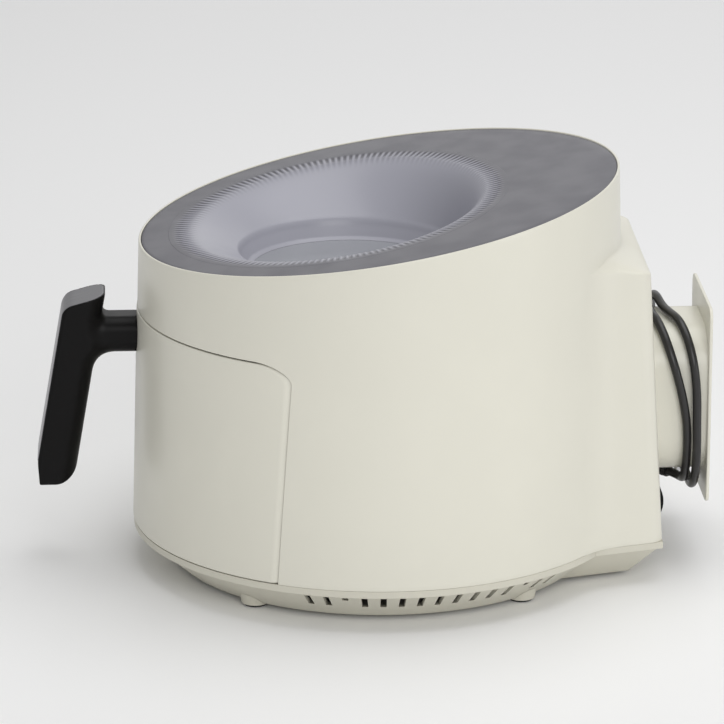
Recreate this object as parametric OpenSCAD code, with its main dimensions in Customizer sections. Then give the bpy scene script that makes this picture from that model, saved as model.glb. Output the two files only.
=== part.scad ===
// Drawer-type hot-air fryer: tapered round body with a sloping windowed top,
// a curved drawer front with a hooked handle, a crisper tray in a pot,
// a vented base on feet and a wound cord on a spool at the rear.
// Millimetres. Z is up, the handle points to -Y, the base stands on Z = 0.

/* [Body] */
// Outside diameter of the body at the seam with the base
body_d = 300; // [250:1:360]
// Height of the sloping top where it crosses the body's axis
top_mid_h = 222; // [185:1:266]
// Slope of the top, rising to the rear, degrees
top_tilt = 9.1; // [4:0.1:14]
// Inward draft of the body wall, degrees
body_draft = 1.72; // [0.5:0.01:3]
// Thickness of the moulded wall
wall = 2.5; // [2:0.1:4]
// Thickness of the fine rim round the top
rim_t = 1.4; // [1:0.1:2]
// Depth the rear housing stands out behind the body
rear_reach = 16.2; // [10:0.1:30]
// Half width of the rear housing at its rear lower edge
rear_half_w = 71.3; // [60:0.1:80]

/* [Base] */
// Height of the seam between body and base
seam_h = 26; // [22:0.5:34]
// Height of the plain band under the seam
band_h = 4; // [3:0.5:8]
// Clearance under the flat bottom of the base pan
pan_lift = 3; // [2:0.5:8]
// How far the pan's bottom edge lies inside the body
pan_inset = 24; // [12:1:40]
// Width of one vent slot
vent_w = 3.7; // [2:0.1:5]
// Angle between neighbouring vent slots, degrees
vent_pitch = 4.5; // [3:0.5:9]
// Diameter of a foot where it joins the pan
foot_top_d = 21; // [12:0.5:26]
// Diameter of a foot at the table
foot_low_d = 16.4; // [8:0.1:20]

/* [Top] */
// Half width of the window ring, side to side
ring_half_x = 118; // [90:1:130]
// Half length of the window ring, front to rear
ring_half_y = 103.3; // [80:0.1:115]
// Width of the fluted band of the window ring
ring_band = 14; // [8:1:20]
// Radius at the top of the round window well
well_top_r = 66.5; // [50:0.5:80]
// Radius at the bottom of the round window well
well_low_r = 61.5; // [45:0.5:75]
// Depth of the well floor below the mid height of the top
well_depth = 41.6; // [30:0.1:50]

/* [Drawer] */
// Drop from the mid height of the top to the drawer's upper edge
panel_drop = 64.2; // [50:0.1:90]
// Half width of the drawer front
panel_half_w = 133.2; // [110:0.1:140]
// Visible gap round the drawer front
panel_gap = 0.8; // [0.4:0.1:2]
// Thickness of the drawer front
panel_t = 3; // [2:0.1:5]
// How far the drawer front stands proud of the body
panel_proud = 1.3; // [0.5:0.1:3]
// Gap between the pot's upper wall and the body's outside
pot_margin = 44; // [38:1:60]
// Travel of the drawer
drawer_travel = 235; // [150:5:260]
// Diameter of one hole in the crisper tray
tray_hole_d = 7; // [4:0.5:10]

/* [Handle] */
// Width of the grip
grip_w = 35; // [28:1:45]
// Width of the arm that carries the grip
arm_w = 29; // [20:1:40]
// Depth of the grip, front to back
grip_depth = 24.6; // [18:0.1:30]
// Height of the grip's lower end above the table
grip_low_h = 51.4; // [40:0.1:70]
// Reach of the arm in front of the drawer front
arm_reach = 17; // [14:0.5:40]

/* [Fan] */
// Radius of the hot-air impeller
impeller_r = 40; // [30:1:48]
// Radius of the motor shaft
shaft_r = 3; // [2:0.5:5]
// Radial clearance between shaft and bearing
bearing_gap = 0.05; // [0.01:0.01:0.1]

/* [Cord] */
// Diameter of the mains cord
cord_d = 5.3; // [5:0.1:8]
// Width of the spool core
core_w = 80; // [60:1:90]
// Height of the spool core
core_h = 91; // [70:1:110]
// Corner radius of the spool core
core_corner = 25; // [15:1:35]
// Height of the spool's middle above the table
core_mid_h = 101; // [90:1:110]
// Distance from the rear face to the back of the flange at the seam
spool_depth = 31; // [26:1:40]

/* [Hidden] */
$fn = 72;
cream = [0.88, 0.87, 0.82];
dark_plate = [0.49, 0.49, 0.52];
bowl_grey = [0.7, 0.7, 0.73];
black = [0.08, 0.08, 0.085];
steel = [0.6, 0.6, 0.62];
big = 700;
eps = 0.5;
slip = 0.3;

// Body relations
body_r = body_d / 2;
draft_k = tan(body_draft);
rise_k = tan(top_tilt);
tall_h = top_mid_h + rise_k * body_r + 20;
inset_t = 2.5;
inset_drop = 0.5;
ledge_drop = inset_t + inset_drop;
function body_r_at(z) = body_r - draft_k * (z - seam_h);

// Rear housing relations
rear_y = body_r + rear_reach;
rear_lean = 3.15;
rear_side_angle = 16.4;
rear_side_draft = 3.1;
lean_k = tan(rear_lean);
roof_k = 0.16;
roof_y = rear_y - 46.2;
roof_h = top_mid_h - 24.2;
roof_round = 8;
housing_in_y = rear_y - 66;
cover_half_w = 56;
cover_low = 3;
cover_high = min(150, (roof_h - roof_k * 46 - seam_h) - 12);
cover_t = wall;
cover_lip = 3.5;
cover_lip_t = 2;

// Base relations
pan_top_h = seam_h - band_h;
pan_top_r = body_r - 2.5;
pan_low_r = body_r - pan_inset;
pan_t = 2.2;
foot_x = body_r * 0.6267;
foot_y = body_r * 0.5267;
pad_t = 1.5;
pad_inset = 1.6;
foot_seat = 0.16;
pad_r = foot_low_d / 2 - pad_inset;
post_r = 5;
post_ring = body_r - 42;
chassis_h = seam_h + 2.5;
chassis_t = 2;

// Top relations
ring_y = -body_r * 0.169;
ring_t = 1.6;
ring_drop = 2;
well_y = -body_r * 0.12;
well_low_h = top_mid_h - well_depth;
well_top_h = well_low_h + 11.2;
pane_t = 3;
pane_r = well_low_r + 2.5;
sheet = 0.8;

// Drawer relations
panel_top_h = top_mid_h - panel_drop;
panel_low_h = seam_h + 0.6;
panel_corner = 11;
pad_room = 12;
pad_stand = 5;
cav_y = pad_room + pad_stand - pot_margin;
pot_r = body_r - pot_margin;
pot_wall = 1.6;
pot_draft = 5;
liner_r = pot_r + 7;
liner_low_h = chassis_h + chassis_t;
rail_x = pot_r * 0.52;
rail_w = 8;
rail_h = 3;
pot_low_h = liner_low_h + sheet + rail_h + slip;
pot_top_h = panel_top_h - 9.8;
pot_flange = 2.5;
mouth_y = -sqrt(pow(body_r - 12, 2) - pow(liner_r + sheet, 2));
ceiling_h = panel_top_h + 8.7;
tray_h = pot_low_h + 15;
tray_t = 1.6;
tray_r = pot_r - pot_draft - pot_wall - 1.6;
back_gap = 0.5;
back_t = 2;
pad_y = cav_y - pot_r - pad_stand;
bracket_t = 2;
bracket_y = pad_y - bracket_t;
arm_mid_h = panel_top_h - 15.8;
handle_y = -(body_r_at(arm_mid_h) + panel_proud);

// Fan relations
fan_h = panel_top_h;
fan_y = cav_y + liner_r + sheet + 1.6;
scroll_r = impeller_r + 16;
scroll_len = 21;
motor_y = fan_y + scroll_len + 12.4;
motor_len = 27;
motor_r = 24;
bearing_r = 7;
bearing_len = 3;

// Cord relations
cord_r = cord_d / 2;
cord_gap = 1;
flange_y = rear_y + spool_depth - 2;
flange_t = 2;
flange_half_w = core_w / 2 + 3;
flange_low = core_mid_h - core_h / 2 - 15.7;
flange_high = core_mid_h + core_h / 2 + 15.4;
boot_x = -14;
boot_h = core_mid_h - core_h / 2 - 6.5;
boot_y = rear_y - lean_k * (boot_h - seam_h);
boot_turn = 30;
boot_len = 24;
boot_r = 5;

// Handle outline, front to rear against height
grip_k = 0.176;
horn_rise = 26.3;
horn_back_y = handle_y - arm_reach;
horn_back_h = arm_mid_h + horn_rise;
horn_front_h = horn_back_h - 7.2;
grip_front_y = horn_back_y - 26;
function grip_front(z) = grip_front_y - grip_k * (horn_front_h - z);
function grip_inner(z) = grip_front(z) + grip_depth;
lean_n = sqrt(1 + grip_k * grip_k);
heel_r = 14;
toe_r = 3;
knee_h = grip_low_h + 18;
toe_front_y = grip_front(knee_h) - 0.8;
arm_low_h = arm_mid_h - 11;
arm_high_h = arm_mid_h + 11;

// Frame shift that centres the part front to rear
frame_y = -(toe_front_y + flange_y + flange_t) / 2;

module in_frame() {
  translate([0, frame_y, 0]) children();
}

module on_boot() {
  translate([boot_x, boot_y, boot_h]) rotate([0, 0, boot_turn]) rotate([0, 90, 0]) children();
}

module cone_between(z0, z1, inset) {
  translate([0, 0, z0])
    cylinder(h = z1 - z0, r1 = body_r_at(z0) - inset, r2 = body_r_at(z1) - inset);
}

module on_top() {
  translate([0, 0, top_mid_h]) rotate([top_tilt, 0, 0]) children();
}

module above_top(drop) {
  on_top() translate([-big / 2, -big / 2, -drop]) cube(big);
}

module on_rear() {
  translate([0, rear_y, seam_h]) rotate([rear_lean, 0, 0]) children();
}

module side_extrude(length) {
  translate([-length / 2, 0, 0]) rotate([90, 0, 90]) linear_extrude(length) children();
}

module front_extrude(y0, y1) {
  translate([0, y1, 0]) rotate([90, 0, 0]) linear_extrude(y1 - y0) children();
}

module rod_y(r, y0, y1) {
  translate([0, y0, 0]) rotate([-90, 0, 0]) cylinder(r = r, h = y1 - y0);
}

module rounded_box_2d(w, h, r) {
  translate([-w / 2 + r, -h / 2]) square([w - 2 * r, h]);
  translate([-w / 2, -h / 2 + r]) square([w, h - 2 * r]);
  for (sx = [-1, 1])
    for (sy = [-1, 1])
      translate([sx * (w / 2 - r), sy * (h / 2 - r)]) circle(r);
}

function oval(half_x, half_y, count) =
  [for (i = [0 : count - 1]) [half_x * cos(360 * i / count), half_y * sin(360 * i / count)]];

// Side outline of the rear housing, with a rounded roof edge
module housing_side(inset, z0) {
  edge = roof_round - inset;
  lean_s = sqrt(1 + lean_k * lean_k);
  roof_s = sqrt(1 + roof_k * roof_k);
  a = rear_y - inset - edge * lean_s;
  b = roof_h - inset - edge * roof_s;
  cy = (a - lean_k * (b - seam_h) - lean_k * roof_k * roof_y) / (1 - lean_k * roof_k);
  cz = b - roof_k * (cy - roof_y);
  polygon([
    [housing_in_y, z0],
    [rear_y - inset - lean_k * (z0 - seam_h), z0],
    [cy + edge / lean_s, cz + edge * lean_k / lean_s],
    [cy + edge * roof_k / roof_s, cz + edge / roof_s],
    [housing_in_y, roof_h - inset - roof_k * (housing_in_y - roof_y)]
  ]);
  translate([cy, cz]) circle(edge);
}

module side_cuts(half_w, y, z, draft) {
  for (m = [0, 1])
    mirror([m, 0, 0])
      translate([half_w, y, z])
        rotate([0, 0, rear_side_angle])
          rotate([0, -draft, 0])
            translate([0, -big / 2, -big / 2])
              cube(big);
}

module housing(inset, z0) {
  difference() {
    side_extrude(big / 2) housing_side(inset, z0);
    side_cuts(rear_half_w - inset, rear_y, seam_h, rear_side_draft);
  }
}

module panel_outline(grow) {
  half = panel_half_w + grow;
  top = panel_top_h + grow;
  r = panel_corner + grow;
  low = panel_low_h - grow;
  translate([-half, low]) square([2 * half, top - r - low]);
  translate([-half + r, low]) square([2 * half - 2 * r, top - low]);
  for (sx = [-1, 1])
    translate([sx * (half - r), top - r]) circle(r);
}

module panel_slab(r_out, r_in, grow) {
  intersection() {
    translate([0, -panel_proud, 0])
      difference() {
        cone_between(panel_low_h - grow - eps, panel_top_h + grow + eps, r_out);
        cone_between(panel_low_h - grow - 2 * eps, panel_top_h + grow + 2 * eps, r_in);
      }
    front_extrude(-body_r - 20, -body_r * 0.2) panel_outline(grow);
  }
}

module body_shell() {
  color(cream)
    difference() {
      union() {
        difference() {
          cone_between(seam_h, tall_h, 0);
          above_top(0);
        }
        housing(0, seam_h);
      }
      cone_between(seam_h - 1, tall_h + 1, wall);
      intersection() {
        cone_between(seam_h, tall_h + 1, rim_t);
        above_top(ledge_drop);
      }
      housing(wall, seam_h - 1);
      front_extrude(-body_r - 20, -body_r * 0.3) panel_outline(panel_gap);
      cover_slab(cover_half_w, 0, -wall - eps, eps);
    }
}

module cover_slab(half_w, grow, y0, y1) {
  on_rear()
    translate([-half_w - grow, y0, cover_low - grow])
      cube([2 * (half_w + grow), y1 - y0, cover_high - cover_low + 2 * grow]);
}

module cover_screw_places() {
  for (sx = [-1, 1])
    for (z = [cover_low + 6, cover_high - 6])
      on_rear() translate([sx * (cover_half_w - 6), 0, z]) children();
}

module rear_cover() {
  color(cream)
    difference() {
      union() {
        cover_slab(cover_half_w - slip, -slip, -wall, 0);
        cover_slab(cover_half_w, cover_lip * 0.5, -wall - cover_lip_t, -wall);
      }
      cover_screw_places() rod_y(3.6, -1.4, 1);
      cover_screw_places() rod_y(1.6, -wall - cover_lip_t - 1, 1);
      on_rear()
        for (i = [-5 : 5])
          translate([i * 9 - 2, -wall - cover_lip_t - 1, cover_low + 7])
            cube([4, wall + cover_lip_t + 2, 10]);
      on_boot() translate([0, 0, -30]) cylinder(r = boot_r - 1.2, h = 40);
    }
}

module rear_cover_screws() {
  color(steel)
    cover_screw_places()
      difference() {
        union() {
          rod_y(3.4, -1.4, -0.2);
          rod_y(1.5, -wall - cover_lip_t - 3, -1.4);
        }
        translate([-2.2, -0.7, -0.4]) cube([4.4, 1, 0.8]);
        translate([-0.4, -0.7, -2.2]) cube([0.8, 1, 4.4]);
      }
}

// Domed louvre over the air outlet low on the rear cover, notched for the cord boot
grille_half_w = cover_half_w - 16;
grille_h = 24;
grille_mid_h = cover_low + 12.6;
grille_bulge = 4.5;
grille_wall = 2;
grille_slot_w = 2.6;
grille_slot_h = 17;
grille_slots = 6;
grille_pitch = 5.8;
notch_half_w = 22;
module grille_section(inset) {
  dome_r = (pow(grille_h / 2, 2) + pow(grille_bulge, 2)) / (2 * grille_bulge);
  reach = grille_bulge - inset;
  half = sqrt(pow(dome_r, 2) - pow(dome_r - grille_bulge, 2)) - inset;
  r = (half * half + reach * reach) / (2 * reach);
  steps = 12;
  edge = asin(half / r);
  polygon([for (i = [0 : steps])
    let (a = -edge + 2 * edge * i / steps) [reach - r + r * cos(a), r * sin(a)]]);
}

module exhaust_grille() {
  color(black)
    on_rear()
      difference() {
        translate([0, 0, grille_mid_h])
          difference() {
            side_extrude(2 * grille_half_w) grille_section(0);
            translate([0, -0.01, 0]) side_extrude(2 * (grille_half_w - grille_wall)) grille_section(grille_wall);
          }
        for (i = [-grille_slots : grille_slots])
          translate([i * grille_pitch - grille_slot_w / 2, -1, grille_mid_h - grille_slot_h / 2])
            cube([grille_slot_w, grille_bulge + 2, grille_slot_h]);
        translate([boot_x + boot_len / 2 - notch_half_w, -1, boot_h - seam_h - boot_r - 1.5])
          cube([2 * notch_half_w, grille_bulge + 2, 20]);
      }
}

module cord_spool() {
  color(cream)
    difference() {
      translate([0, 0, core_mid_h])
        front_extrude(rear_y - 20, flange_y)
          rounded_box_2d(core_w, core_h, core_corner);
      translate([0, 0, core_mid_h])
        front_extrude(rear_y - 21, flange_y - 2.5)
          rounded_box_2d(core_w - 6, core_h - 6, core_corner - 3);
      on_rear() translate([-big / 2, -big, -big / 2]) cube(big);
      spool_screw_places() rod_y(1.6, flange_y - 10, flange_y + 1);
    }
}

module spool_screw_places() {
  for (sz = [-1, 1])
    translate([0, 0, core_mid_h + sz * core_h * 0.26]) children();
}

module spool_flange() {
  color(cream)
    difference() {
      translate([0, 0, (flange_low + flange_high) / 2])
        front_extrude(flange_y, flange_y + flange_t)
          rounded_box_2d(2 * flange_half_w, flange_high - flange_low, 7);
      spool_screw_places() rod_y(3.4, flange_y + 1, flange_y + flange_t + 1);
      spool_screw_places() rod_y(1.6, flange_y - 1, flange_y + 2);
    }
}

module spool_screws() {
  color(steel)
    spool_screw_places()
      difference() {
        union() {
          rod_y(3.2, flange_y + 1, flange_y + flange_t - 0.1);
          rod_y(1.5, flange_y - 7, flange_y + 1);
        }
        translate([-2, flange_y + 1.4, -0.4]) cube([4, 1, 0.8]);
        translate([-0.4, flange_y + 1.4, -2]) cube([0.8, 1, 4]);
      }
}

// Outside of the pan; inset shrinks it for the hollow
module pan_form(inset, z0) {
  shrink = inset * 1.35;
  hollow = inset > 0 ? 1 : 0;
  band_inset = hollow * (body_r - pan_top_r + shrink);
  translate([0, 0, z0])
    cylinder(h = pan_top_h - z0, r1 = pan_low_r - shrink, r2 = pan_top_r - shrink);
  translate([0, 0, pan_top_h])
    cylinder(h = band_h + hollow, r = body_r - band_inset);
  difference() {
    side_extrude(big / 2)
      polygon([
        [housing_in_y, z0],
        [rear_y - 19 - shrink, z0],
        [rear_y - 2.5 - shrink, pan_top_h],
        [housing_in_y, pan_top_h]
      ]);
    side_cuts(rear_half_w - 2.5 - shrink, rear_y, pan_top_h, -42);
  }
  difference() {
    side_extrude(big / 2)
      translate([housing_in_y, pan_top_h])
        square([rear_y - band_inset - housing_in_y, band_h + hollow]);
    side_cuts(rear_half_w - band_inset, rear_y, seam_h, 0);
  }
}

// Vents run along both sides, from behind the front feet to over the rear ones. Two a side are only dimples.
vent_h = 8.6;
vent_drop = 2;
vent_first = -5;
vent_last = 9;
vent_dimples = [-3, 7];
vent_mid_h = pan_top_h - vent_drop - vent_h / 2;
vent_face_r = pan_top_r - (pan_top_h - vent_mid_h) * (pan_top_r - pan_low_r) / (pan_top_h - pan_lift);
dimple_depth = 0.6;
dimple_h = 2.4;
module vent_row() {
  for (i = [vent_first : vent_last])
    let (dimple = len(search(i, vent_dimples)) > 0,
         reach = dimple ? dimple_depth : 16,
         h = dimple ? dimple_h : vent_h)
      rotate([0, 0, (i + 0.5) * vent_pitch])
        translate([vent_face_r - reach, -vent_w / 2, pan_top_h - vent_drop - h])
          cube([reach + 6, vent_w, h]);
}

module base_pan() {
  color(cream)
    difference() {
      union() {
        difference() {
          pan_form(0, pan_lift);
          pan_form(pan_t, pan_lift + pan_t);
        }
        post_places()
          translate([0, 0, pan_lift]) cylinder(r = post_r, h = chassis_h - pan_lift);
      }
      vent_row();
      mirror([1, 0, 0]) vent_row();
      post_places() translate([0, 0, pan_lift - 1]) cylinder(r = 3.6, h = 5);
      post_places() translate([0, 0, pan_lift - 1]) cylinder(r = 1.6, h = chassis_h);
    }
}

module post_places() {
  for (a = [20, 160, 220, 320])
    rotate([0, 0, a]) translate([post_ring, 0, 0]) children();
}

module foot_places() {
  for (sx = [-1, 1])
    for (sy = [-1, 1])
      translate([sx * foot_x, sy * foot_y, 0]) children();
}

module feet() {
  color(cream)
    difference() {
      foot_places()
        translate([0, 0, pad_t])
          cylinder(r1 = foot_low_d / 2, r2 = foot_top_d / 2, h = pan_top_h - 10);
      translate([0, 0, pan_lift])
        cylinder(h = pan_top_h - pan_lift, r1 = pan_low_r + foot_seat, r2 = pan_top_r + foot_seat);
    }
}

module foot_pads() {
  color(black) foot_places() cylinder(r = pad_r, h = pad_t);
}

module base_screws() {
  color(steel)
    post_places() {
      translate([0, 0, pan_lift + 1]) cylinder(r = 3.4, h = 2.9);
      translate([0, 0, pan_lift + 3.9]) cylinder(r = 1.5, h = 12);
    }
}

module top_panel() {
  color(dark_plate)
    difference() {
      intersection() {
        cone_between(seam_h, tall_h, rim_t + slip);
        on_top()
          translate([-big / 2, -big / 2, -ledge_drop])
            cube([big, big, inset_t]);
      }
      on_top()
        translate([0, ring_y, -10])
          linear_extrude(20)
            polygon(oval(ring_half_x + slip, ring_half_y + slip, 96));
    }
}

// Fluted ring plate, bowl and well wall of the window as one lofted shell
funnel_n = 64;
bowl_sag = 2.5;
bowl_wall = 2;
well_rest = 0.3;
bowl_steps = [0, 0.25, 0.5, 0.75, 1];
function top_point(x, y, drop) =
  [x, y * cos(top_tilt) + drop * sin(top_tilt), top_mid_h + y * sin(top_tilt) - drop * cos(top_tilt)];
function ring_loop(shrink, drop) =
  [for (p = oval(ring_half_x - shrink, ring_half_y - shrink, funnel_n)) top_point(p[0], ring_y + p[1], drop)];
function well_loop(r, z) =
  [for (p = oval(r, r, funnel_n)) [p[0], well_y + p[1], z]];
function bowl_loop(t, grow, drop) =
  let (a = ring_loop(ring_band - grow, ring_drop + drop),
       b = well_loop(well_top_r + grow, well_top_h - drop))
    [for (i = [0 : funnel_n - 1]) a[i] * (1 - t) + b[i] * t - [0, 0, bowl_sag * sin(180 * t)]];

module window_funnel() {
  loops = concat(
    [ring_loop(0, ring_drop)],
    [for (t = bowl_steps) bowl_loop(t, 0, 0)],
    [well_loop(well_low_r, well_low_h - well_rest)],
    [well_loop(well_top_r + bowl_wall, well_low_h - well_rest)],
    [for (i = [len(bowl_steps) - 1 : -1 : 0]) bowl_loop(bowl_steps[i], bowl_wall, ring_t)],
    [ring_loop(0, ring_drop + ring_t)]
  );
  count = len(loops);
  points = [for (l = loops) for (p = l) p];
  faces = [for (i = [0 : count - 1])
    for (j = [0 : funnel_n - 1])
      for (k = [0, 1])
        let (a = i * funnel_n + j,
             b = i * funnel_n + (j + 1) % funnel_n,
             c = ((i + 1) % count) * funnel_n + (j + 1) % funnel_n,
             d = ((i + 1) % count) * funnel_n + j)
          k == 0 ? [a, c, b] : [a, d, c]];
  color(bowl_grey) polyhedron(points = points, faces = faces);
}

module window_pane() {
  color([0.75, 0.8, 0.82, 0.4])
    translate([0, well_y, well_low_h - pane_t - 0.4]) cylinder(r = pane_r, h = pane_t);
}

module window_gasket() {
  color(black)
    translate([0, well_y, well_low_h - pane_t - 0.4])
      difference() {
        cylinder(r = pane_r + 2.4, h = pane_t);
        translate([0, 0, -1]) cylinder(r = pane_r + 0.1, h = pane_t + 2);
      }
}

clamp_low_h = well_low_h - pane_t - 0.4 - 2;
module pane_clamp_ring() {
  color(steel)
    translate([0, well_y, clamp_low_h])
      difference() {
        cylinder(r = pane_r + 6, h = 2);
        translate([0, 0, -1]) cylinder(r = pane_r - 4, h = 4);
        for (a = [0 : 60 : 300])
          rotate([0, 0, a]) translate([pane_r + 4, 0, -1]) cylinder(r = 1.3, h = 4);
      }
}

module clamp_screws() {
  color(steel)
    translate([0, well_y, clamp_low_h])
      for (a = [0 : 60 : 300])
        rotate([0, 0, a])
          translate([pane_r + 4, 0, 0]) {
            translate([0, 0, -1.4]) cylinder(r = 2.2, h = 1.4);
            cylinder(r = 1.2, h = pane_t + 2);
          }
}

module inner_pane() {
  color([0.75, 0.8, 0.82, 0.4])
    translate([0, well_y, ceiling_h + sheet]) cylinder(r = well_low_r - 4, h = pane_t);
}

module liner_outline(grow) {
  intersection() {
    union() {
      translate([0, cav_y]) circle(liner_r + grow);
      translate([-liner_r - grow, mouth_y]) square([2 * (liner_r + grow), cav_y - mouth_y]);
    }
    translate([-big / 2, mouth_y]) square([big, big]);
  }
}

module heat_reflector() {
  color(steel)
    difference() {
      translate([0, 0, ceiling_h]) linear_extrude(sheet) liner_outline(sheet);
      translate([0, well_y, ceiling_h - 1]) cylinder(r = well_low_r - 8, h = 3);
    }
}

module touch_board() {
  color([0.1, 0.3, 0.18])
    on_top()
      translate([-45, body_r * 0.6, -ledge_drop - 1.8])
        cube([90, 28, 1.6]);
}

module chassis() {
  color(steel)
    difference() {
      union() {
        translate([0, 0, chassis_h]) cylinder(r = body_r - 9, h = chassis_t);
        translate([-50, 0, chassis_h]) cube([100, rear_y - 9, chassis_t]);
      }
      post_places() translate([0, 0, chassis_h - 1]) cylinder(r = 2.2, h = chassis_t + 2);
      for (i = [-4 : 4])
        translate([i * 10 - 2.5, rear_y - 44, chassis_h - 1]) cube([5, 20, chassis_t + 2]);
    }
}

module drawer_rails() {
  color(steel)
    for (sx = [-1, 1])
      translate([sx * rail_x - rail_w / 2, mouth_y + 2, liner_low_h + sheet])
        cube([rail_w, cav_y + liner_r * 0.7 - mouth_y, rail_h]);
}

module cavity_liner() {
  color(steel)
    difference() {
      translate([0, 0, liner_low_h])
        linear_extrude(ceiling_h - liner_low_h)
          liner_outline(sheet);
      difference() {
        translate([0, 0, liner_low_h + sheet])
          linear_extrude(ceiling_h)
            liner_outline(0);
      }
      translate([-big / 2, mouth_y - 1, liner_low_h + sheet]) cube([big, 1 + eps, big]);
      translate([-impeller_r, cav_y, pot_top_h + 3])
        cube([2 * impeller_r, liner_r + 5, ceiling_h - pot_top_h - 7]);
    }
}

module at_fan() {
  translate([0, 0, fan_h]) children();
}

heater_ring_r = impeller_r + 8;
heater_y = fan_y + scroll_len * 0.5;
module heater() {
  color([0.35, 0.33, 0.32])
    at_fan() {
      difference() {
        translate([0, heater_y, 0])
          rotate([90, 0, 0])
            rotate_extrude()
              translate([heater_ring_r, 0]) circle(3);
        translate([-11, heater_y - 4, heater_ring_r - 8]) cube([22, 8, 16]);
      }
      for (sx = [-1, 1])
        translate([sx * 14 - 3, heater_y - 3, heater_ring_r - 0.5])
          cube([6, motor_y - 12 - heater_y, 6]);
    }
}

module heater_clips() {
  color(steel)
    at_fan()
      for (a = [30, 150, 270])
        rotate([0, a, 0])
          difference() {
            translate([heater_ring_r - 4.5, heater_y - 1, -4])
              cube([9, fan_y + scroll_len - sheet - heater_y + 1, 8]);
            rotate([90, 0, 0])
              translate([0, 0, -heater_y])
                rotate_extrude()
                  translate([heater_ring_r, 0]) circle(3.05);
          }
}

module blower_scroll() {
  color(steel)
    at_fan()
      difference() {
        rod_y(scroll_r, fan_y, fan_y + scroll_len);
        rod_y(scroll_r - sheet, fan_y + sheet, fan_y + scroll_len - sheet);
        rod_y(impeller_r * 0.62, fan_y - 1, fan_y + 2);
        rod_y(bearing_r + 1, fan_y, fan_y + scroll_len + 1);
        for (sx = [-1, 1])
          translate([sx * 14 - 3.5, fan_y + 5, heater_ring_r - 1])
            cube([7, scroll_len, 7]);
        translate([-impeller_r + 4, fan_y - 1, impeller_r * 0.1])
          cube([2 * impeller_r - 8, 3, ceiling_h - fan_h - impeller_r * 0.1 - 3]);
      }
}

module motor_bracket() {
  color(steel)
    difference() {
      union() {
        translate([-34, motor_y - 1.6, chassis_h + chassis_t])
          cube([68, 1.6, fan_h - chassis_h - chassis_t + 20]);
        translate([-34, motor_y - 12, chassis_h + chassis_t]) cube([68, 12, 1.6]);
      }
      at_fan() rod_y(bearing_r + 3, motor_y - 5, motor_y + 5);
      for (sx = [-1, 1])
        translate([sx * 28 - 2, motor_y - 5, chassis_h + 20]) cube([4, 10, 40]);
    }
}

module motor_can() {
  color(steel)
    at_fan()
      difference() {
        rod_y(motor_r, motor_y, motor_y + motor_len);
        rod_y(motor_r - 1.2, motor_y + 1.2, motor_y + motor_len - 1.2);
        rod_y(bearing_r + 0.02, motor_y - 1, motor_y + motor_len + 1);
        for (a = [0 : 45 : 315])
          rotate([0, a, 0])
            translate([13, motor_y - 1, -3]) cube([5, motor_len + 2, 6]);
      }
}

module motor_stator() {
  color([0.45, 0.3, 0.2])
    at_fan()
      difference() {
        rod_y(motor_r - 1.3, motor_y + 6, motor_y + motor_len - 6);
        rod_y(14.5, motor_y + 5, motor_y + motor_len - 5);
      }
}

module motor_bearings() {
  color(steel)
    at_fan()
      for (y = [motor_y, motor_y + motor_len - bearing_len])
        difference() {
          rod_y(bearing_r, y, y + bearing_len);
          rod_y(shaft_r + bearing_gap, y - 1, y + bearing_len + 1);
        }
}

module thermal_fuse() {
  color([0.7, 0.68, 0.6])
    at_fan()
      translate([30, fan_y + scroll_len + 0.2, 20]) {
        cube([14, 5, 6]);
        translate([3, 5, 1.5]) cube([8, 3, 3]);
      }
}

module temperature_sensor() {
  color(steel)
    translate([liner_r * 0.78, 0, ceiling_h + sheet]) {
      cylinder(r = 4, h = 1.5);
      translate([0, 0, 1.5]) cylinder(r = 2, h = 9);
    }
}

board_y = fan_y + 9;
board_low = liner_low_h;
board_high = fan_h - scroll_r - 3;
module power_board() {
  color([0.1, 0.3, 0.18])
    translate([-52, board_y, board_low]) cube([104, 1.6, board_high - board_low]);
}

module power_components() {
  color(black) {
    translate([-48, board_y - 6, board_low + 8]) cube([26, 6, 20]);
    translate([-10, board_y - 7, board_low + 10]) cube([18, 7, 14]);
    translate([22, board_y, board_low + 12]) rotate([90, 0, 0]) cylinder(r = 6, h = 5);
    translate([38, board_y, board_low + 12]) rotate([90, 0, 0]) cylinder(r = 5, h = 6);
    translate([20, board_y - 4, board_low + 26]) cube([24, 4, 10]);
  }
}

module terminal_block() {
  color([0.85, 0.83, 0.75])
    translate([30, motor_y + 4, liner_low_h])
      difference() {
        cube([22, 14, 16]);
        for (i = [0 : 2])
          translate([4 + i * 7, 7, 6]) cylinder(r = 2, h = 12);
      }
}

magnet_x = liner_r - 8;
module reed_switch() {
  color([0.2, 0.2, 0.22])
    translate([liner_r + sheet + 1, mouth_y + 14, liner_low_h])
      cube([6, 18, 12]);
}

module strain_relief() {
  color(black)
    difference() {
      union() {
        on_boot() translate([0, 0, -16]) cylinder(r = boot_r - 1.4, h = boot_len + 16);
        on_boot()
          for (i = [0 : 4])
            translate([0, 0, 8 + i * 3.2]) cylinder(r = boot_r - 0.25 * i, h = 2.1);
        difference() {
          on_boot() translate([0, 0, -6]) cylinder(r = boot_r, h = 12.5);
          on_rear() translate([-big / 2, -big, -big / 2]) cube(big);
        }
      }
      on_boot() translate([0, 0, -20]) cylinder(r = cord_r + 0.05, h = boot_len + 21);
    }
}

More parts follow.
